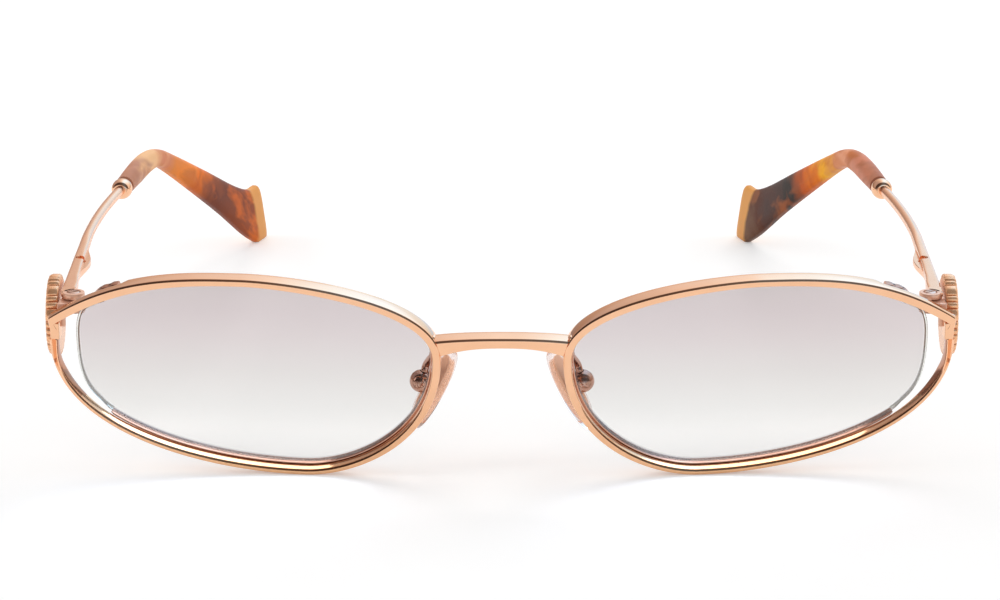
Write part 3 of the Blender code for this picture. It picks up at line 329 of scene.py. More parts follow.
class Nodes:
    """Helper round a node tree."""

    def __init__(self, tree):
        self.tree = tree

    def put(self, value, socket):
        """Links a socket or sets its fixed value."""
        if isinstance(value, bpy.types.NodeSocket):
            self.tree.links.new(value, socket)
        else:
            socket.default_value = rgba(value) if socket.type == "RGBA" else value

    def add(self, kind, inputs=(), **settings):
        """Adds a node with its settings, and with a link or a value for each (input, value) pair."""
        node = self.tree.nodes.new(kind)
        for key, value in settings.items():
            setattr(node, key, value)
        for key, value in inputs:
            self.put(value, node.inputs[key])
        return node

    def number(self, kind, *values):
        return self.add("ShaderNodeMath", enumerate(values), operation=kind).outputs[0]

    def vector(self, kind, *values):
        node = self.add("ShaderNodeVectorMath", enumerate(values), operation=kind)
        return node.outputs["Value" if kind == "DOT_PRODUCT" else "Vector"]

    def parts(self, vector):
        """X, Y and Z of a vector."""
        return self.add("ShaderNodeSeparateXYZ", ((0, vector),)).outputs

    def mapped(self, vector, scale, turn=(0, 0, 0)):
        inputs = (("Vector", vector), ("Scale", scale), ("Rotation", turn))
        return self.add("ShaderNodeMapping", inputs).outputs["Vector"]

    def ramp(self, value, stops):
        node = self.add("ShaderNodeValToRGB", (("Fac", value),))
        elements = node.color_ramp.elements
        while len(elements) < len(stops):
            elements.new(0.5)
        for element, (place, color) in zip(elements, stops):
            element.position = place
            element.color = rgba(color)
        return node.outputs["Color"]

    def range(self, value, low, high, to_low=0.0, to_high=1.0):
        inputs = (("Value", value), ("From Min", low), ("From Max", high), ("To Min", to_low),
                  ("To Max", to_high))
        return self.add("ShaderNodeMapRange", inputs).outputs["Result"]

    def mix(self, factor, one, two, blend="MIX"):
        inputs = ((0, factor), (6, one), (7, two))
        return self.add("ShaderNodeMix", inputs, data_type="RGBA", blend_type=blend).outputs[2]

    def any_ray(self, *kinds):
        """1 for rays of the named kinds."""
        rays = self.add("ShaderNodeLightPath").outputs
        found = rays[kinds[0]]
        for kind in kinds[1:]:
            found = self.number("MAXIMUM", found, rays[kind])
        return found


class Look(Nodes):
    """Helper round the nodes of one material."""

    def __init__(self, name):
        self.mat = bpy.data.materials.new(name)
        self.mat.use_nodes = True
        super().__init__(self.mat.node_tree)
        self.shader = self.tree.nodes["Principled BSDF"]
        self.out = self.tree.nodes["Material Output"]
        self.coords = self.add("ShaderNodeTexCoord").outputs["Object"]

    def set(self, **values):
        for key, value in values.items():
            self.put(value, self.shader.inputs[key.replace("_", " ")])

    def noise(self, scale, detail=3.0, rough=0.5, distortion=0.0, vector=None):
        inputs = (("Scale", scale), ("Detail", detail), ("Roughness", rough), ("Distortion", distortion),
                  ("Vector", vector or self.coords))
        return self.add("ShaderNodeTexNoise", inputs).outputs["Fac"]

    def bump(self, height, distance, strength):
        inputs = (("Height", height), ("Distance", distance), ("Strength", strength))
        self.set(Normal=self.add("ShaderNodeBump", inputs).outputs["Normal"])

    def lamps_through(self, color):
        """Lets light from lamps pass, so a clear piece casts only a pale shadow."""
        clear = self.add("ShaderNodeBsdfTransparent", (("Color", color),)).outputs[0]
        inputs = ((0, self.any_ray("Is Shadow Ray")), (1, self.shader.outputs[0]), (2, clear))
        self.put(self.add("ShaderNodeMixShader", inputs).outputs[0], self.out.inputs["Surface"])


def metal(name, light, dark, roughness, metallic=1.0, low=None):
    """Fine-grained metal; the colour low multiplies it towards the floor as painted shade."""
    look = Look(name)
    color = look.ramp(look.noise(180.0, 2.0), ((0.35, light), (HIGH, dark)))
    # painted shade: the colour low darkens the metal close to the floor
    if low:
        share = look.range(look.parts(look.coords)["Z"], *mm(1.0, 15.0))
        color = look.mix(1.0, color, look.ramp(share, ((0.0, low), (1.0, WHITE))), "MULTIPLY")
    grain = look.noise(2600.0, 3.0, 0.6)
    look.set(Base_Color=color, Metallic=metallic, Roughness=look.range(grain, LOW, HIGH, *roughness))
    look.bump(grain, 0.004 * MM, 0.25)
    return look.mat


# the main rose gold carries painted shade close to the floor
ROSE = metal("rose_gold_polished", (0.93, 0.545, 0.335), (0.90, 0.52, 0.315), (0.06, 0.11),
             low=(0.79, 0.75, 0.65))
# darker rose gold as painted shade, for inward walls next to the hinge and for the thread anchor
ROSE_PAINTED_SHADE = metal("rose_gold_painted_shade", (0.52, 0.235, 0.135), (0.44, 0.19, 0.11), (0.10, 0.18))
# darker rose gold as painted dark reflection, for the eyewire, the pad boxes and the pad arms
ROSE_DARK_REFLECTION = metal("rose_gold_painted_dark_reflection", (0.60, 0.35, 0.26), (0.52, 0.29, 0.21), (0.12, 0.2))
ROSE_SOFT = metal("rose_gold_disc", (0.97, 0.53, 0.29), (0.92, 0.47, 0.24), (0.22, 0.30), 0.6)
ROSE_BODY = metal("rose_gold_hinge", (0.93, 0.56, 0.40), (0.88, 0.51, 0.35), (0.30, 0.40), 0.5)
ROSE_CORE = metal("rose_gold_core", (1.0, 0.64, 0.43), (0.97, 0.59, 0.38), (0.30, 0.40), 0.1)
ROSE_PALE = metal("rose_gold_temple", (0.96, 0.56, 0.36), (0.94, 0.53, 0.33), (0.16, 0.26))
STEEL = metal("screw_metal", (0.78, 0.50, 0.38), (0.68, 0.42, 0.31), (0.18, 0.3))

# Tint of the lens from bottom to top
TINT = ((0.0, (0.97, 0.97, 0.96)), (0.17, (0.945, 0.94, 0.925)), (0.31, (0.84, 0.835, 0.82)),
        (0.51, (0.76, 0.735, 0.725)), (0.72, (0.70, 0.645, 0.65)), (0.86, (0.66, 0.60, 0.61)),
        (1.0, (0.635, 0.58, 0.585)))


def lens_look():
    """Clear glass with a tint that deepens upwards, not quite evenly."""
    look = Look("graded_lens")
    height = look.number("MULTIPLY_ADD", look.noise(60.0, 2.0), 0.6 * MM, look.parts(look.coords)["Z"])
    look.set(Base_Color=look.ramp(look.range(height, *mm(2.0, 31.0)), TINT),
             Roughness=0.0, IOR=1.12, Transmission_Weight=1.0)
    look.lamps_through((0.92, 0.90, 0.91))
    return look.mat


def clear_look(name, color, rough, ior, through):
    """Clear plastic with a slight cloudiness."""
    look = Look(name)
    cloud = look.noise(900.0)
    look.set(Base_Color=look.ramp(cloud, ((LOW, tuple(c * 0.96 for c in color)), (HIGH, color))),
             Roughness=look.range(cloud, LOW, HIGH, rough, rough * 1.7), IOR=ior, Transmission_Weight=1.0)
    look.bump(cloud, 0.01 * MM, 0.3)
    look.lamps_through(through)
    return look.mat


def bevel_look():
    """Edge of the lens: painted shade, a grey that thickens outwards."""
    look = Look("bevel_painted_shade")
    grain = look.noise(4000.0, 3.0, 0.6)
    bevel_shade = look.add("ShaderNodeAttribute", attribute_name="bevel_shade").outputs["Fac"]
    look.set(Base_Color=look.ramp(grain, ((LOW, (0.25, 0.225, 0.215)), (HIGH, (0.32, 0.29, 0.28)))),
             Alpha=look.range(bevel_shade, 0.0, 1.0, 0.02, 0.72), Roughness=0.5, Specular_IOR_Level=0.0)
    look.bump(grain, 0.004 * MM, 0.3)
    return look.mat


# Side view of the tip, (y, z) in mm: its start at the collar, the corners of its end, and two directions
TIP_START = (69.4, 27.6)
HEEL_TOP, HEEL_FOOT = (130.6, 10.6), (134.4, -0.3)
TIP_WAY, HEEL_WAY = (0.86, -0.5), (0.9445, 0.329)


def acetate_look(name, seed, colors, streaks, strip):
    """Tortoise tip: colours from collar to end, broken up by clouds, and a light strip at the end."""
    look = Look(name)

    def beyond(origin, direction):
        """Distance in mm beyond a place in the side view, along a direction."""
        y, z = direction
        along = look.vector("DOT_PRODUCT", look.coords, (0, y / MM, z / MM))
        return look.number("SUBTRACT", along, y * (origin[0] + SHIFT.y / MM) + z * (origin[1] + SHIFT.z / MM))

    coords = look.vector("ADD", look.mapped(look.coords, (1.0, 1.0, 1.0), (0.52, 0, 0)),
                         (0.13 * seed, 0.07 * seed, 0.19 * seed))
    clouds = look.noise(150.0, 2.0, 0.5, 0.6, coords)
    veins = look.noise(210.0, 3.0, 0.55, 0.5, look.mapped(coords, (1.0, 0.3, 1.0)))
    place = look.number("MULTIPLY_ADD", clouds, 16.0, beyond(TIP_START, TIP_WAY))
    share = look.range(place, 8.0, 78.0)
    streaky = look.range(veins, 0.5, 0.62, 0.0, 0.85)
    color = look.mix(streaky, look.ramp(share, colors), look.ramp(share, streaks))
    end = look.number("MULTIPLY_ADD", veins, 1.6, beyond(HEEL_TOP, HEEL_WAY))
    look.set(Base_Color=look.mix(look.range(end, -4.2, -3.2), color, strip),
             Roughness=look.ramp(look.noise(3000.0, 2.0), ((LOW, 0.3), (HIGH, 0.4))), Specular_IOR_Level=0.04)
    look.bump(look.noise(1500.0, 2.0), 0.004 * MM, 0.2)
    return look.mat


LENS = lens_look()
BEVEL = bevel_look()
SILICONE = clear_look("clear_silicone", (0.96, 0.85, 0.82), 0.08, 1.22, (0.95, 0.88, 0.86))
NYLON = clear_look("clear_nylon", (0.90, 0.92, 0.88), 0.12, 1.5, (0.93, 0.94, 0.92))
# For each side the colours from collar to end, the streaks through them, and the strip at the end
ACETATE = {
    -1: acetate_look("acetate_left", 1.0, (
        (0.0, (0.55, 0.26, 0.17)), (0.05, (0.62, 0.30, 0.20)), (0.10, (1.0, 0.60, 0.32)),
        (0.15, (1.0, 0.58, 0.30)), (0.23, (0.77, 0.27, 0.14)), (0.30, (0.85, 0.27, 0.06)),
        (0.38, (1.0, 0.28, 0.035)), (0.45, (0.92, 0.21, 0.016)), (0.52, (0.385, 0.094, 0.03)),
        (0.60, (0.20, 0.05, 0.024)), (0.72, (0.27, 0.06, 0.02)), (0.84, (0.36, 0.08, 0.026)),
        (0.95, (0.62, 0.13, 0.02))),
        ((0.0, (0.62, 0.28, 0.17)), (0.3, (0.75, 0.24, 0.05)), (0.5, (0.62, 0.12, 0.018)),
         (0.9, (0.78, 0.17, 0.02))), (0.88, 0.40, 0.12)),
    1: acetate_look("acetate_right", 2.3, (
        (0.0, (0.50, 0.20, 0.12)), (0.06, (0.71, 0.265, 0.16)), (0.14, (0.68, 0.27, 0.17)),
        (0.19, (0.87, 0.38, 0.215)), (0.24, (0.74, 0.26, 0.107)), (0.30, (1.0, 0.47, 0.02)),
        (0.38, (0.83, 0.20, 0.01)), (0.45, (0.60, 0.11, 0.012)), (0.52, (0.255, 0.065, 0.022)),
        (0.58, (0.04, 0.03, 0.025)), (0.68, (0.09, 0.043, 0.034)), (0.78, (0.113, 0.032, 0.015)),
        (0.92, (0.19, 0.094, 0.053))),
        ((0.0, (0.45, 0.17, 0.10)), (0.3, (0.70, 0.18, 0.015)), (0.55, (0.42, 0.11, 0.03)),
         (0.9, (0.24, 0.09, 0.035))), (0.82, 0.38, 0.11)),
}


# Loop of the outer rim

# Seen from the front: end block, bottom, nose, top, corner and tip of the blade. A place along it counts
# the curves, so 1.5 is halfway along the second one.
DOWN, LEFT, UP, RIGHT = (0, -1), (-1, 0), (0, 1), (1, 0)
CURVES = (
    reach(LOOP_END, DOWN, 16.5, BOTTOM, LEFT, 13.7),
    reach(BOTTOM, LEFT, 8.4, NOSE, UP, 13.8),
    reach(NOSE, UP, 10.4, TOP, RIGHT, 6.4),
    reach(TOP, RIGHT, 10.4, CORNER, way(-35), 12.5),
    reach(CORNER, way(-35), 0.6, BLADE_TIP, way(-100), 1.2),
)
TIP_INNER = reach(Vector(CORNER) + Vector(way(-125)) * BLADE_WIDTH, way(-60), 0.3,
                  (BLADE_TIP[0] - TIP_WIDTH, BLADE_TIP[1]), way(-95), 0.3)
AT_NOSE, AT_CORNER, AT_TIP = 2, 4, 5
FINE = (70, 44, 50, 64, 12)  # steps along each curve
HELD_START, HELD_END = 0.36, 3.76
ANCHOR_START, ANCHOR_RUN = 3.65, 0.155
SHOULDER = ANCHOR_START - 0.01
# Width seen from the front and depth to the back along the loop, in mm
WIDTHS = ((0.0, 1.3), (0.12, 0.8), (1.0, 0.9), (2.0, 1.4), (3.0, 1.15), (3.85, 1.5))
DEPTHS = ((0.0, 1.6), (0.14, 2.4), (HELD_START, 2.0), (0.6, 2.4), (1.0, 2.8), (2.4, 3.1), (3.0, 2.8),
          (SHOULDER - 0.05, 2.8), (SHOULDER, 1.9), (4.0, 1.9), (5.0, 1.1))
GROOVE_DEPTHS = ((0.0, 0.55), (0.07, 0.4), (0.15, 0.0))  # V groove in the face, next to the end block


def rim_at(place):
    """Point on the outer edge of the loop, and the direction inwards."""
    if place > AT_CORNER:
        outer = bezier(CURVES[AT_CORNER], place - AT_CORNER)
        return outer, (bezier(TIP_INNER, place - AT_CORNER) - outer).normalized()
    i = int(place)
    return bezier(CURVES[i], place - i), across(bezier_way(CURVES[i], place - i))


def rim_width(place):
    if place > AT_CORNER:
        return (bezier(TIP_INNER, place - AT_CORNER) - bezier(CURVES[AT_CORNER], place - AT_CORNER)).length
    return eased(WIDTHS, place) * MM


def rim_places(first, last):
    """All places between two others that the fine meshes have a ring at."""
    near = 0.004  # a ring closer than this to either end is left out
    places = [i + k / n for i, n in enumerate(FINE) for k in range(n)] + [AT_TIP]
    return [first] + [p for p in places if first + near < p < last - near] + [last]


def rim_ring(place, profile, side):
    """Ring across the loop, from (inwards from the outer edge, depth) pairs."""
    edge, inward = rim_at(place)
    return [front_point(*(edge + inward * a), d, side) for a, d in profile]


def rim_side_at(up):
    """Distance of the loop's nose side from the middle of the frame, at a height."""
    low, high = 0.0, 1.0
    for _ in range(40):
        middle = (low + high) / 2
        if bezier(CURVES[AT_NOSE], middle).y < up:
            low = middle
        else:
            high = middle
    return bezier(CURVES[AT_NOSE], low).x


# Front

SEAM = 0.03 * MM
STRIP = 0.28 * MM  # front height of the eyewire


def outer_rim(word, side):
    """Edgewise wire with crowned walls; next to the hinge its inward walls take a darker metal as painted
    shade.
    """
    land, rounding = mm(0.02, 0.06)
    rings = []
    for p in rim_places(0.0, AT_TIP):
        w, d = rim_width(p), eased(DEPTHS, p) * MM
        lift = (1 + rim_at(p)[1].normalized().y) / 2
        inner = min(EDGE_DOWN + (EDGE_UP - EDGE_DOWN) * lift, w * 0.33)
        outer = min(EDGE_UP + (EDGE_DOWN - EDGE_UP) * lift, w * 0.33)
        back = min(CHAMFER * 0.6, w * 0.3)
        bulge = min(CROWN, w * 0.1)
        near, far = outer + land, w - inner - land
        groove = eased(GROOVE_DEPTHS, p) * MM
        corners = [(outer, 0), (near, 0), ((near + far) / 2, groove), (far, 0), (w - inner, 0)]
        corners += [(w - bulge * (2 * s - 1) ** 2, inner + (d - back - inner) * s) for s in shares(4)]
        corners += [(w - back - bulge, d), (back + bulge, d)]
        corners += [(bulge * (2 * s - 1) ** 2, outer + (d - back - outer) * s) for s in shares(4)[::-1]]
        rings.append(rim_ring(p, rounded(corners, rounding), side))
    made = piece(f"rim_{word}", loft(rings), ROSE, f"outer_rim_{word}")
    made.data.materials.append(ROSE_PAINTED_SHADE)
    # inward walls next to the hinge get the darker metal, painted shade
    darker_from, turned_in = 48 * MM, 0.72
    for face in made.data.polygons:
        if face.normal.x * side < -turned_in and face.center.x * side > darker_from:
            face.material_index = 1


def eyewire(word, side):
    """Strip inside the rim, set back from its face and a little smaller at its two ends."""
    back = EYEWIRE_FRONT + EYEWIRE_DEPTH
    places = rim_places(HELD_START, HELD_END)
    rings = []
    for p in places:
        front, near = EYEWIRE_FRONT, rim_width(p) + SEAM
        far = near + STRIP
        if p in (places[0], places[-1]):
            front, near, far = front + 0.15 * MM, near + 0.08 * MM, far - 0.08 * MM
        corners = [(near, front), (far, front), (far, back), (near, back)]
        rings.append(rim_ring(p, rounded(corners, 0.1 * MM), side))
    # the eyewire takes the darker metal, painted dark reflection
    piece(f"wire_{word}", loft(rings), ROSE_DARK_REFLECTION, f"eyewire_{word}")


def lens_outline():
    """The lens edge as (point, direction inwards) pairs: the stretch that is held, and the bare one."""
    gap = 0.07 * MM
    held = []
    for p in rim_places(HELD_START, HELD_END):
        point, inward = rim_at(p)
        held.append((point + inward * (rim_width(p) + STRIP + gap), inward))
    (first, first_in), (last, last_in) = held[0], held[-1]
    upper = reach(last, (-last_in.y, last_in.x), 3.0, LENS_SIDE, DOWN, 5.6)
    lower = reach(LENS_SIDE, DOWN, 6.5, first, (-first_in.y, first_in.x), 5.0)
    bare = [(bezier(curve, t), across(bezier_way(curve, t)))
            for curve in (upper, lower) for t in shares(28)[:-1]]
    return held, bare[1:]


# Rings on the faces of the lens, as shares of its outline, and how deep the slope of the bevel reaches
FACE_SHARES = (0.02, 0.12, 0.3, 0.5, 0.7, 0.86, 0.95)
SLOPE_START, SLOPE_END = mm(0.3, 0.36)
# Painted shade on the bevel, as greyness at its face, slope and brink, where it is held and where it is bare
HELD_GREY, BARE_GREY = (0.0, 0.5, 0.75), (0.3, 0.5, 0.95)


def lens(word, side):
    """Lens with a bevel that carries painted shade; along the bare edge it stands a little inside the thread.
    """
    held, bare = lens_outline()
    inside, run, end = 0.38 * MM, 4, len(bare) - 1
    bare = [(p + n * (inside * min(1.0, k / run, (end - k) / run)), n) for k, (p, n) in enumerate(bare)]
    edge = held + bare
    middle = sum((p for p, _ in edge), Vector((0, 0))) / len(edge)
    front, back = LENS_FRONT, LENS_FRONT + LENS_THICKNESS

    def bevel(point):
        """Width of the bevel, which grows towards the bottom of the lens."""
        return (0.12 + 0.2 * min(1.0, max(0.0, (13 * MM - point.y) / (6 * MM)))) * MM

    def ring(inset, depth, share=1.0):
        """Ring at a depth, inset by a share of the bevel and drawn in to a share of the outline."""
        points = (p + n * (inset * bevel(p)) for p, n in edge)
        return [front_point(*(middle + (p - middle) * share), depth, side) for p in points]

    rings = [ring(1, front, s) for s in FACE_SHARES]
    rings += [ring(1, front), ring(0.12, front + SLOPE_START), ring(0, front + SLOPE_END),
              ring(0, back - SLOPE_END), ring(0.12, back - SLOPE_START), ring(1, back)]
    rings += [ring(1, back, s) for s in reversed(FACE_SHARES)]
    made = piece(f"tinted_lens_{word}", loft(rings), LENS, f"lens_{word}", angle=30.0)
    made.data.materials.append(BEVEL)
    # the bevel's grey is painted shade, set per ring of the bevel
    grey = made.data.attributes.new("bevel_shade", "FLOAT", "POINT")
    first, last = len(FACE_SHARES), len(rings) - len(FACE_SHARES) - 1
    for vertex in made.data.vertices:
        row, place = divmod(vertex.index, len(edge))
        face, slope, brink = HELD_GREY if place < len(held) else BARE_GREY
        levels = {first: face, first + 1: slope, first + 2: brink, last - 2: brink, last - 1: slope}
        grey.data[vertex.index].value = levels.get(row, 0.0)
    for face in made.data.polygons:
        if first * len(edge) <= face.index < last * len(edge):
            face.material_index = 1


def lens_thread(word, side):
    """Nylon thread in the groove, along the bare edge of the lens."""
    radius, inset = mm(0.26, 0.27)
    held, bare = lens_outline()
    angles = [math.pi * k / 8 for k in range(16)]
    rings = [[front_point(*(point + inward * (inset + radius * math.cos(a))),
                          GROOVE_MIDDLE + radius * math.sin(a), side) for a in angles]
             for point, inward in [held[-1]] + bare + [held[0]]]
    piece(f"thread_{word}", loft(rings), NYLON, f"lens_thread_{word}", angle=60.0)


def anchor(word, side):
    """Lump behind the blade with a wavy top, a tapered end and two holes for the thread."""
    front, back, height, wave, hole = mm(1.93, 3.6, 1.2, 0.16, 0.22)
    wave_end, taper_start = 0.67, 0.62
    rings = []
    for s in shares(26):
        lump = wave * math.sin(3 * math.pi * s) ** 2 if s < wave_end else 0.0
        drop = 0.62 * height * max(0.0, (s - taper_start) / (1 - taper_start)) ** 1.6
        top = 0.1 * MM - lump * 0.6 + drop
        corners = [(top, front), (height, front), (height, back), (top + 0.05 * MM, back)]
        if s in (0, 1):
            corners = [(a * 0.9 + 0.06 * MM, d) for a, d in corners]
        rings.append(rim_ring(ANCHOR_START + ANCHOR_RUN * s, rounded(corners, 0.22 * MM, 3), side))
    # the anchor takes the darker metal, painted shade
    made = piece(f"anchor_{word}", loft(rings), ROSE_PAINTED_SHADE, f"thread_anchor_{word}")
    for s in (0.3, 0.62):
        edge, inward = rim_at(ANCHOR_START + ANCHOR_RUN * s)
        start = front_point(*(edge - inward * MM), (front + back) / 2, side)
        end = front_point(*(edge + inward * (height - 0.1 * MM)), (front + back) / 2, side)
        drill(made, start, end - start, (end - start).length, hole, 20)


def bridge():
    """Bar between the rims, which grows taller towards its ends."""
    front, back, overlap = mm(0.1, 3.1, 0.05)
    rings = []
    for share in (2 * s - 1 for s in shares(60)):
        bend = abs(share) ** 2.4
        top, under = (23.7 - 0.5 * bend) * MM, (22.1 - 1.4 * bend) * MM
        corners = [(top - CROWN, front + EDGE_UP), (top - EDGE_UP, front), (under + EDGE_DOWN, front),
                   (under, front + EDGE_DOWN), (under, back - CHAMFER), (under + CHAMFER, back),
                   (top - CHAMFER, back), (top - CROWN, back - CHAMFER),
                   (top - CROWN / 4, back - 0.8 * MM), (top, (front + back) / 2),
                   (top - CROWN / 4, front + 0.9 * MM)]
        rings.append([front_point(share * (rim_side_at(up) + overlap), up, depth, 1)
                      for up, depth in rounded(corners, 0.07 * MM)])
    piece("bridge_bar", loft(rings), ROSE, "bridge")


def solder(word, side):
    """Bead of solder in the corner between rim and bridge."""
    bm = bmesh.new()
    bmesh.ops.create_uvsphere(bm, u_segments=28, v_segments=18, radius=0.5 * MM)
    bmesh.ops.scale(bm, vec=(0.85, 1.6, 0.8), verts=bm.verts)
    away = rim_side_at(23.6 * MM) + 0.12 * MM
    bmesh.ops.translate(bm, vec=front_point(away, 23.55 * MM, 1.0 * MM, side), verts=bm.verts)
    piece(f"solder_{word}", bm, ROSE, angle=180.0)


def end_block(word, side):
    """Block that closes the corner under the blade and reaches back to the hinge leaf."""
    width, height, front = mm(1.4, 2.75, 0.05)
    outer, low = LOOP_END[0] - 0.2 * MM, LOOP_END[1] + 0.02 * MM
    inner, high = outer - width, low + height
    leaf_front = ROSETTE.y - ROSETTE_RADIUS - 0.03 * MM
    back = front + (leaf_front - (front_point(outer, low, front, 1) - SHIFT).y) / math.cos(LEAN)
    plan = rounded([(inner, front), (outer, front), (outer, back), (inner, back)], 0.16 * MM, 3)
    middle = Vector((outer - width / 2, (front + back) / 2))
    rings = []
    for inset, up in ((0.12, low), (0.03, low + 0.06 * MM), (0, low + 0.14 * MM), (0, high - 0.14 * MM),
                      (0.03, high - 0.06 * MM), (0.12, high)):
        outline = [middle + (p - middle) * (1 - inset) for p in plan]
        rings.append([front_point(p.x, up, p.y, side) for p in outline])
    piece(f"block_{word}", loft(rings), ROSE, f"end_block_{word}")


GROUPS = 9
LOBES = ((0.0, 0.5), (0.5, 0.25), (0.75, 0.25))  # start and share of each lobe in its group
FIRST_NOTCH = math.radians(24.4)


def lobe_edge():
    """Angle and height round the edge of the disc: 0 in a notch, 1 on a lobe."""
    group = math.tau / GROUPS
    return [(FIRST_NOTCH + group * (g + start + share * s), math.sin(math.pi * s) ** 0.4)
            for g in range(GROUPS) for start, share in LOBES for s in shares(14)[:-1]]


def rosette(word, side):
    """Scalloped disc with a raised ring and a domed middle on its outer face."""
    out = Vector((side, 0, 0))
    centre = placed(*ROSETTE, side)
    edge = lobe_edge()

    def ring(radius, height, notch):
        made = []
        for angle, lobe in edge:
            r = radius - notch * (1 - lobe)
            made.append(centre + out * height + Vector((0, -r * math.sin(angle), r * math.cos(angle))))
        return made

    # mm in from the edge, mm from the disc's back or from its outer face, and share of the notches' depth
    r, t, notch = ROSETTE_RADIUS, ROSETTE_THICKNESS, 0.55 * MM
    rings = [ring(r - inset * MM, height * MM, notch * share) for inset, height, share in (
        (3.0, 0, 0), (0.8, 0, 0), (0.3, 0.01, 0.7), (0.08, 0.1, 1), (0, 0.3, 1))]
    rings += [ring(r - inset * MM, t - height * MM, notch * share) for inset, height, share in (
        (0, 0.55, 1), (0.06, 0.35, 1), (0.22, 0.12, 0.95), (0.5, 0.01, 0.7), (1.2, 0, 0.25), (1.6, 0.12, 0),
        (1.85, 0.42, 0), (2.1, 0.44, 0), (2.4, 0.2, 0), (2.9, 0.1, 0), (4.41, 0.04, 0), (5.796, 0.02, 0))]
    piece(f"disc_{word}", loft(rings), ROSE_SOFT, f"rosette_{word}", angle=60.0)


# Hinge, from the top down: upper eye of the temple, knuckle of the leaf, barrel of the temple
PLAY = 0.2 * MM
EYE_TOP = TEMPLE_TOP
EYE_FOOT = EYE_TOP - 0.9 * MM
KNUCKLE_TOP = EYE_FOOT - PLAY
KNUCKLE_FOOT = KNUCKLE_TOP - 1.0 * MM
BARREL_TOP = KNUCKLE_FOOT - PLAY
BARREL_FOOT = BARREL_TOP - 0.8 * MM
KNUCKLE_RADIUS = 1.7 * MM


def knuckle(foot, top, side):
    """Round hinge eye with a softened top and foot."""
    r, b, h = KNUCKLE_RADIUS, 0.12 * MM, top - foot
    rows = ((0, r - b), (b * 0.3, r - b * 0.3), (b, r), (h - b, r), (h - b * 0.3, r - b * 0.3), (h, r - b))
    return turned(placed(*HINGE, foot, side), Z_UP, rows, 64)


def hinge_leaf(word, side):
    """Riser behind the end block, a strap and the middle knuckle."""
    outer = ROSETTE.x - 0.03 * MM
    front, back = ROSETTE.y - ROSETTE_RADIUS, HINGE[1] - 1.9 * MM
    riser = soft_box((outer - 1.2 * MM, front, KNUCKLE_TOP - 3.7 * MM), (outer, back, KNUCKLE_TOP),
                     side, 0.12 * MM)
    strap = soft_box((HINGE[0] + 0.2 * MM, front + 0.12 * MM, KNUCKLE_FOOT),
                     (outer - 0.1 * MM, HINGE[1], KNUCKLE_TOP - 0.02 * MM), side, 0.1 * MM)
    piece(f"leaf_{word}", riser, ROSE_BODY, f"hinge_leaf_{word}")
    piece(f"leaf_strap_{word}", strap, ROSE_BODY)
    piece(f"leaf_knuckle_{word}", knuckle(KNUCKLE_FOOT, KNUCKLE_TOP, side), ROSE_BODY)


def hinge_screw(word, side):
    """Screw through the three knuckles, with a flat slotted head."""
    length = EYE_TOP - BARREL_FOOT
    shank, head = mm(0.45, 0.95)
    rows = ((0, 0.35 * MM), (0.08 * MM, shank), (length - 0.36 * MM, shank), (length - 0.35 * MM, head),
            (length - 0.08 * MM, head), (length - 0.02 * MM, head - 0.05 * MM),
            (length + 0.02 * MM, head - 0.14 * MM), (length + 0.02 * MM, 0))
    shape = turned(placed(*HINGE, BARREL_FOOT - 0.02 * MM, side), Z_UP, rows, 56)
    made = piece(f"screw_{word}", shape, STEEL, f"hinge_screw_{word}")
    screw_slot(made, mm(2.4, 0.24, 0.36), placed(*HINGE, EYE_TOP + 0.02 * MM, side), 35, "Z")


# Temples: outer face, half thickness and height of the bar, its straight and curved run, and the collar
BAR_FACE, WIRE, WIRE_Z = mm(68.15, 0.85, 27.5)
STRAIGHT_END, CURVE_RADIUS, CURVE_END = mm(35.0, 185.0, 92.0)
COLLAR, COLLAR_HALF = mm(67.6, 1.5)


def bar_face(y):
    """Distance of the bar's outer face from the middle of the frame: straight, curved inwards, straight."""
    if y <= STRAIGHT_END:
        return BAR_FACE
    inside = min(y, CURVE_END) - STRAIGHT_END
    x = BAR_FACE - CURVE_RADIUS + math.sqrt(CURVE_RADIUS ** 2 - inside ** 2)
    if y > CURVE_END:
        x -= math.tan(math.asin(inside / CURVE_RADIUS)) * (y - CURVE_END)
    return x


def temple_line(y):
    """Middle line of the bar at y, at height 0, with the directions along it and outwards."""
    near, far = bar_face(y - 0.1 * MM), bar_face(y + 0.1 * MM)
    travel = Vector((far - near, 0.2 * MM, 0)).normalized()
    out = Vector((travel.y, -travel.x, 0))
    return Vector((bar_face(y), y, 0)) - out * WIRE, travel, out


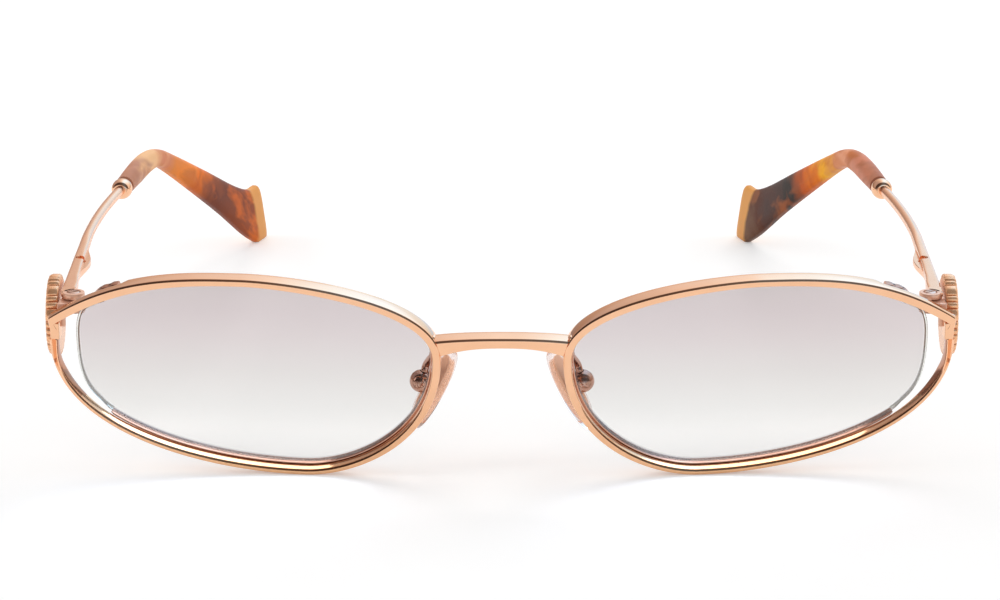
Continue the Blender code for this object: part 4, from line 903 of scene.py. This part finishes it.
def temple_bar(word, side):
    """Strip that turns into a round wire, with the two eyes of the hinge and their necks."""
    body = f"temple_{word}"
    start, end = HINGE[1] + KNUCKLE_RADIUS + PLAY, COLLAR + COLLAR_HALF
    barrel = BARREL_FOOT / MM
    # place along it; width, foot, squareness and top, in mm
    keys = ((start, 2.2, barrel, 7.0, 28.0), (start + 1.1 * MM, 2.2, barrel + 0.1, 7.0, 28.0),
            (start + 3.0 * MM, 2.15, 26.1, 7.0, 28.0), (start + 8.0 * MM, 1.84, 26.5, 5.5, 28.0),
            (22.0 * MM, 1.7, 26.6, 4.5, 28.0), (32.0 * MM, 1.7, 26.5, 3.0, 28.1),
            (40.0 * MM, 1.7, 26.65, 2.0, 28.35))
    rings = []
    for y in (start + (end - start) * s for s in shares(110)):
        line, _, out = temple_line(y)
        width, foot, power, top = between(keys, y)
        middle = line + out * WIRE - out * (width * MM / 2) + Z_UP * ((top + foot) / 2 * MM)
        ring = squared_ring(middle, out, Z_UP, width * MM / 2, (top - foot) / 2 * MM, power)
        rings.append(flip(ring, side))
    bar = piece(f"bar_{word}", loft(rings), ROSE_PALE, f"temple_bar_{word}", body, angle=55.0)
    for n, (low, high) in enumerate(((BARREL_FOOT, BARREL_TOP), (EYE_FOOT, EYE_TOP))):
        eye = piece(f"bar_eye_{n}_{word}", knuckle(low, high, side), ROSE_BODY, body=body)
        shape = soft_box((BAR_FACE - 2.1 * MM, HINGE[1] + 0.2 * MM, low),
                         (BAR_FACE - 0.05 * MM, start + 0.8 * MM, high), side, 0.1 * MM)
        neck = piece(f"bar_neck_{n}_{word}", shape, ROSE_PALE, body=body)
    # the upper eye and its neck are sunk for the screw's head
    seat = placed(*HINGE, EYE_TOP - 0.55 * MM, side)
    drill(eye, seat, Z_UP, 2 * MM, 1.08 * MM, 56)
    drill(neck, seat, Z_UP, 2 * MM, 1.2 * MM, 56)
    ear(word, side, bar)


def ear(word, side, bar):
    """Leaf-shaped ear on the inner edge of the strip, with a drilled eyelet."""
    thick, bulge, root, hole = mm(0.9, 1.0, 0.6, 0.8)
    foot = TEMPLE_TOP - 0.7 * MM - thick
    place, length = mm(24.8, 14.0)
    inner = BAR_FACE - 1.7 * MM
    outline = [Vector((inner - bulge * math.sin(math.pi * s) ** 1.5, place - length / 2 + length * s))
               for s in shares(48)]
    outline += [Vector((inner + root, place + length / 2)), Vector((inner + root, place - length / 2))]
    rings = []
    for inset, share in ((0.12, 0.0), (0.03, 0.1), (0, 0.3), (0, 0.7), (0.03, 0.9), (0.12, 1.0)):
        ring = []
        for p in outline:
            near = min(1.0, max(0.0, (inner - p.x) / MM))
            ring.append(placed(p.x + inset * near * MM, p.y, foot + thick * share, side))
        rings.append(ring)
    made = piece(f"bar_ear_{word}", loft(rings), ROSE_PALE, body=f"temple_{word}")
    start = placed(inner + 0.5 * MM, place - 0.3 * MM, TEMPLE_TOP - 3 * MM, side)
    for target in (made, bar):
        drill(target, start, Z_UP, 5 * MM, hole, 36)


def collar(word, side):
    """Ball-shaped ring where the bar enters the tip."""
    line, travel, _ = temple_line(COLLAR)
    centre = placed(*(line + Z_UP * WIRE_Z), side)
    low, high = mm(0.84, 1.75)
    rows = [(-COLLAR_HALF * math.cos(math.pi * s), low + (high - low) * math.sin(math.pi * s) ** 0.8)
            for s in shares(24)]
    shape = turned(centre, Vector((side * travel.x, travel.y, 0)), rows, 56)
    piece(f"collar_{word}", shape, ROSE, f"temple_collar_{word}", f"temple_{word}")


# Upper and lower edge of the tip in side view, (y, z) in mm
TIP_UPPER = ((69.4, 29.2), (75.5, 30.1), (81.0, 30.3), (86.5, 29.4), (93.0, 26.6), (107.0, 19.9),
             (119.0, 14.0), (126.0, 11.3), (130.0, 11.0))
TIP_LOWER = ((69.4, 26.0), (75.5, 26.2), (81.0, 26.7), (85.2, 26.5), (90.0, 24.4), (103.0, 16.6),
             (114.0, 9.8), (124.0, 3.2), (130.0, -0.2))


def tip_ring(high, low, thick, power, side):
    """Ring of the tip between points on its upper and lower edge; nothing goes below the floor."""
    top, foot = temple_line(high.x)[0], temple_line(low.x)[0]
    out = temple_line((high.x + low.x) / 2)[2]
    rise = Vector((top.x - foot.x, high.x - low.x, high.y - low.y))
    centre = (top + foot) / 2
    centre.y, centre.z = (high.x + low.x) / 2, (high.y + low.y) / 2
    ring = squared_ring(centre, out, rise.normalized(), thick / 2, rise.length / 2, power, 48)
    floor = CHAMFER * math.sin(LEAN)
    return flip([Vector((p.x, p.y, max(p.z, floor))) for p in ring], side)


def temple_tip(word, side):
    """Tip that bends down behind the ear and grows thinner, squarer and taller towards its end."""
    rings = []
    for s in shares(90):
        high, low = smooth_through(TIP_UPPER, s) * MM, smooth_through(TIP_LOWER, s) * MM
        if s == 0:
            high.x = low.x = COLLAR + COLLAR_HALF + 0.02 * MM
        rings.append(tip_ring(high, low, (3.2 - 1.0 * s) * MM, 2.0 + 1.6 * s, side))
    centre = sum(rings[0], Vector((0, 0, 0))) / len(rings[0])
    rings.insert(0, [centre + (p - centre) * 0.82 for p in rings[0]])
    heel_top, heel_foot = Vector(HEEL_TOP) * MM, Vector(HEEL_FOOT) * MM
    for share, thick in ((0.35, 2.15), (0.65, 2.05), (0.85, 1.85), (0.95, 1.6), (1.0, 1.3)):
        rings.append(tip_ring(high.lerp(heel_top, share), low.lerp(heel_foot, share), thick * MM, 3.6, side))
    piece(f"tip_{word}", loft(rings), ACETATE[side], f"temple_tip_{word}", f"temple_{word}", angle=50.0)


# Nose pads

FRONTAL, SPLAY = math.radians(28.5), math.radians(20)  # tilt seen from the front, and from above
PAD_LENGTH, PAD_WIDTH, PAD_THICKNESS, PAD_DROP = mm(14.2, 6.2, 2.0, 0.7)
BALL_FLAT = 1.25 * MM  # from the ball's middle to its flat side
PAD_GAP = BALL_FLAT + 0.65 * MM  # from the ball's middle to the pad's back
CORE_LENGTH, CORE_WIDTH, CORE_THICKNESS = mm(12.0, 4.6, 0.5)
# Dome of the pad, as (level above its middle, share of its size) rings from back to front
PAD_DOME = ((-1.0, 0.60), (-1.0, 0.80), (-0.92, 0.90), (-0.7, 0.965), (-0.35, 0.995), (0.0, 1.0),
            (0.14, 0.98), (0.25, 0.92), (0.32, 0.81), (0.37, 0.66), (0.40, 0.42), (0.42, 0.12))

# Directions along the pad, out of its face and over its width, and two across its screw
FLAT = Vector((-math.cos(FRONTAL), 0, -math.sin(FRONTAL)))
ALONG = Vector((-math.sin(FRONTAL), 0, math.cos(FRONTAL)))
FACE = FLAT * math.cos(SPLAY) + Y_BACK * math.sin(SPLAY)
OVER = Y_BACK * math.cos(SPLAY) - FLAT * math.sin(SPLAY)
INWARD, LIFT = across_pair(Y_BACK, FACE)
PAD_MIDDLE = BALL + FACE * (PAD_GAP + PAD_THICKNESS / 2) - ALONG * PAD_DROP


def pad_ring(width, length, level, share, power, count, side):
    """Oval ring round the middle of the pad, at a level towards its face."""
    return flip(squared_ring(PAD_MIDDLE + FACE * level, OVER, ALONG, width / 2 * share, length / 2 * share,
                             power, count), side)


def nose_pad(word, side):
    rings = [pad_ring(PAD_WIDTH, PAD_LENGTH, PAD_THICKNESS / 2 * level, share, 2.15, 64, side)
             for level, share in PAD_DOME]
    piece(f"pad_{word}", loft(rings), SILICONE, f"nose_pad_{word}", f"pad_{word}", angle=60.0)


def pad_core(word, side):
    """Plate set in the soft pad, with the lug that the box grips."""
    low, soft = -PAD_THICKNESS / 2 + 0.14 * MM, 0.08 * MM
    high = low + CORE_THICKNESS
    rings = [pad_ring(CORE_WIDTH, CORE_LENGTH, level, share, 2.3, 48, side)
             for share, level in ((0.9, low), (1.0, low + soft), (1.0, high - soft), (0.9, high))]
    piece(f"core_{word}", loft(rings), ROSE_CORE, f"pad_core_{word}", f"pad_{word}")
    r, half = mm(0.75, 0.35)
    root = PAD_GAP + 0.37 * MM
    outline = [BALL + (LIFT * math.cos(a) - INWARD * math.sin(a)) * r
               for a in (math.pi * s for s in shares(12))]
    outline += [BALL + INWARD * root - LIFT * r, BALL + INWARD * root + LIFT * r]
    rings = [flip([p + Y_BACK * depth for p in outline], side) for depth in (-half, half)]
    piece(f"core_lug_{word}", loft(rings), ROSE_PALE, body=f"pad_{word}")


def pad_box(word, side):
    """Ball with a flat towards the pad, a slot for the lug and a bore for the screw."""
    bm = bmesh.new()
    bmesh.ops.create_uvsphere(bm, u_segments=64, v_segments=40, radius=BALL_RADIUS)
    bmesh.ops.translate(bm, vec=placed(*BALL, side), verts=bm.verts)
    # the ball takes the darker metal, painted dark reflection
    made = piece(f"box_{word}", bm, ROSE_DARK_REFLECTION, f"pad_box_{word}", angle=35.0)
    # the flat and the slot: where each starts along INWARD, and half its depth from front to back
    far, tall = mm(6, 5)
    for near, half in ((BALL_FLAT, 5 * MM), mm(-0.95, 0.55)):
        corners = [BALL + INWARD * a + LIFT * b
                   for a, b in ((near, -tall), (far, -tall), (far, tall), (near, tall))]
        cut(made, loft([flip([p + Y_BACK * depth for p in corners], side) for depth in (-half, half)]))
    drill(made, placed(*(BALL - Y_BACK * 3 * MM), side), Y_BACK, 1.85 * MM, 0.54 * MM, 40)


def pad_screw(word, side):
    """Screw through ball and lug, with a domed and slotted head."""
    start = placed(*(BALL - Y_BACK * 1.79 * MM), side)
    rows = [mm(*row) for row in ((0, 0.08), (0.01, 0.2), (0.04, 0.38), (0.07, 0.48), (0.1, 0.51),
                                 (0.4, 0.51), (0.4, 0.32), (3.27, 0.32), (3.32, 0.26))]
    made = piece(f"pin_{word}", turned(start, Y_BACK, rows, 40), STEEL, f"pad_screw_{word}")
    screw_slot(made, mm(1.2, 0.24, 0.12), start, 40, "Y")


def pad_arm(word, side):
    """Thin wire from the nose side of the rim, up and over into the top of the ball."""
    radius, ahead = 0.6 * MM, 0.02
    root = front_point(NOSE[0] + 0.7 * MM, 19.4 * MM, 3.65 * MM, 1) - SHIFT
    seat = BALL + Vector((-0.3, -0.15, 0.94)).normalized() * (BALL_RADIUS + 0.02 * MM)
    points = [root, root + Vector((0.25, 1.1, 0.0)) * MM, seat + Vector((-0.45, -0.2, 1.4)) * MM, seat]
    rings = []
    for s in shares(44):
        travel = smooth_through(points, min(1, s + ahead)) - smooth_through(points, max(0, s - ahead))
        one, two = across_pair(travel, Vector((1, 0, 0)))
        rings.append(flip(circle(smooth_through(points, s), one, two, radius, 24), side))
    # the arm takes the darker metal, painted dark reflection
    piece(f"arm_{word}", loft(rings), ROSE_DARK_REFLECTION, f"pad_arm_{word}", angle=60.0)


bridge()
for word, side in (("left", -1), ("right", 1)):
    for make in (outer_rim, eyewire, lens, lens_thread, anchor, solder, end_block, rosette, hinge_leaf,
                 hinge_screw, temple_bar, collar, temple_tip, nose_pad, pad_core, pad_box, pad_screw,
                 pad_arm):
        make(word, side)


# Floor, light and camera

# What reflections show: from the horizon behind, over the top, to the one in front, and left to right
UPRIGHT = ((0.0, 0.55), (0.07, (0.80, 0.68, 0.56)), (0.12, (0.86, 0.75, 0.64)), (0.17, 1.0), (0.25, 1.05),
           (0.36, 1.0), (0.46, 0.95), (0.51, (0.13, 0.11, 0.10)), (0.90, (0.14, 0.12, 0.11)), (0.95, 0.75),
           (1.0, 0.95))
SIDEWAYS = ((0.24, (0.50, 0.45, 0.48)), (0.35, (0.68, 0.63, 0.64)), (0.43, (0.88, 0.85, 0.88)),
            (0.51, (1.04, 1.18, 1.35)), (0.56, (1.07, 1.55, 2.1)), (0.63, (1.10, 1.75, 2.6)),
            (0.70, (1.12, 1.72, 2.5)), (0.80, (1.08, 1.42, 1.78)), (0.92, 1.0))
PLAIN_LEVEL = 0.55  # of the world, for everything that it lights
FLOOR_GLOW = 0.29  # brings the floor to white wherever it is seen
# Camera at the photograph's place: where it is, its tilt, and the lens for a sensor 36 mm wide
CAMERA_PLACE = Vector((-0.31, -565.85, 201.37)) * MM
CAMERA_TILT, CAMERA_LENS = 73.0, 139.32


def floor():
    look = Look("paper_floor")
    seen = look.any_ray("Is Camera Ray", "Is Transmission Ray", "Is Glossy Ray")
    look.set(Base_Color=look.ramp(look.noise(40.0, 2.0), ((LOW, 0.80), (HIGH, 0.81))), Roughness=0.9,
             Specular_IOR_Level=0.0, Emission_Color=WHITE,
             Emission_Strength=look.range(seen, 0.0, 1.0, 0.0, FLOOR_GLOW))
    bm = bmesh.new()
    bmesh.ops.create_grid(bm, x_segments=1, y_segments=1, size=1.6)
    made = mesh_object("floor", bm)
    made.data.materials.append(look.mat)
    made.location = (0, 0, -0.02 * MM)


def world():
    """White surround. Reflections show panels instead: dark high in front, bright behind and right."""
    made = bpy.data.worlds.new("surround")
    bpy.context.scene.world = made
    made.use_nodes = True
    nodes = Nodes(made.node_tree)
    x, y, z = nodes.parts(nodes.add("ShaderNodeTexCoord").outputs["Generated"])
    over = nodes.number("DIVIDE", nodes.number("ARCTAN2", z, y), math.pi)
    aside = nodes.number("MULTIPLY_ADD", x, 0.5, 0.5)
    panels = nodes.vector("MULTIPLY", nodes.ramp(over, UPRIGHT), nodes.ramp(aside, SIDEWAYS))
    # white for the camera, a plain level for everything lit, the panels for reflections
    seen = nodes.any_ray("Is Camera Ray", "Is Transmission Ray")
    plain = nodes.number("MULTIPLY_ADD", seen, 1.0 - PLAIN_LEVEL, PLAIN_LEVEL)
    back = nodes.tree.nodes["Background"]
    nodes.put(nodes.mix(nodes.any_ray("Is Glossy Ray"), plain, panels), back.inputs["Color"])


def lamp(name, place, watts, width, height):
    """Soft lamp that faces the glasses and is left out of reflections."""
    data = bpy.data.lights.new(name, "AREA")
    data.energy, data.shape = watts, "RECTANGLE"
    data.size, data.size_y = width, height
    made = add_object(name, data)
    made.location = place
    made.rotation_euler = (-Vector(place)).to_track_quat("-Z", "Y").to_euler()
    made.visible_glossy = False


def camera():
    data = bpy.data.cameras.new("photo_view")
    data.sensor_width, data.lens = 36.0, CAMERA_LENS
    data.clip_start, data.clip_end = 0.01, 20.0
    made = add_object("photo_view", data)
    made.location = CAMERA_PLACE + SHIFT
    made.rotation_euler = (math.radians(CAMERA_TILT), 0, 0)
    bpy.context.scene.camera = made


floor()
world()
lamp("top_back", (0.1, 0.7, 0.75), 4.0, 0.9, 0.5)
lamp("left", (-0.9, -0.2, 0.5), 2.2, 0.5, 0.7)
lamp("right", (0.9, -0.1, 0.45), 1.6, 0.5, 0.7)
camera()
bpy.context.scene.view_settings.view_transform = "Standard"
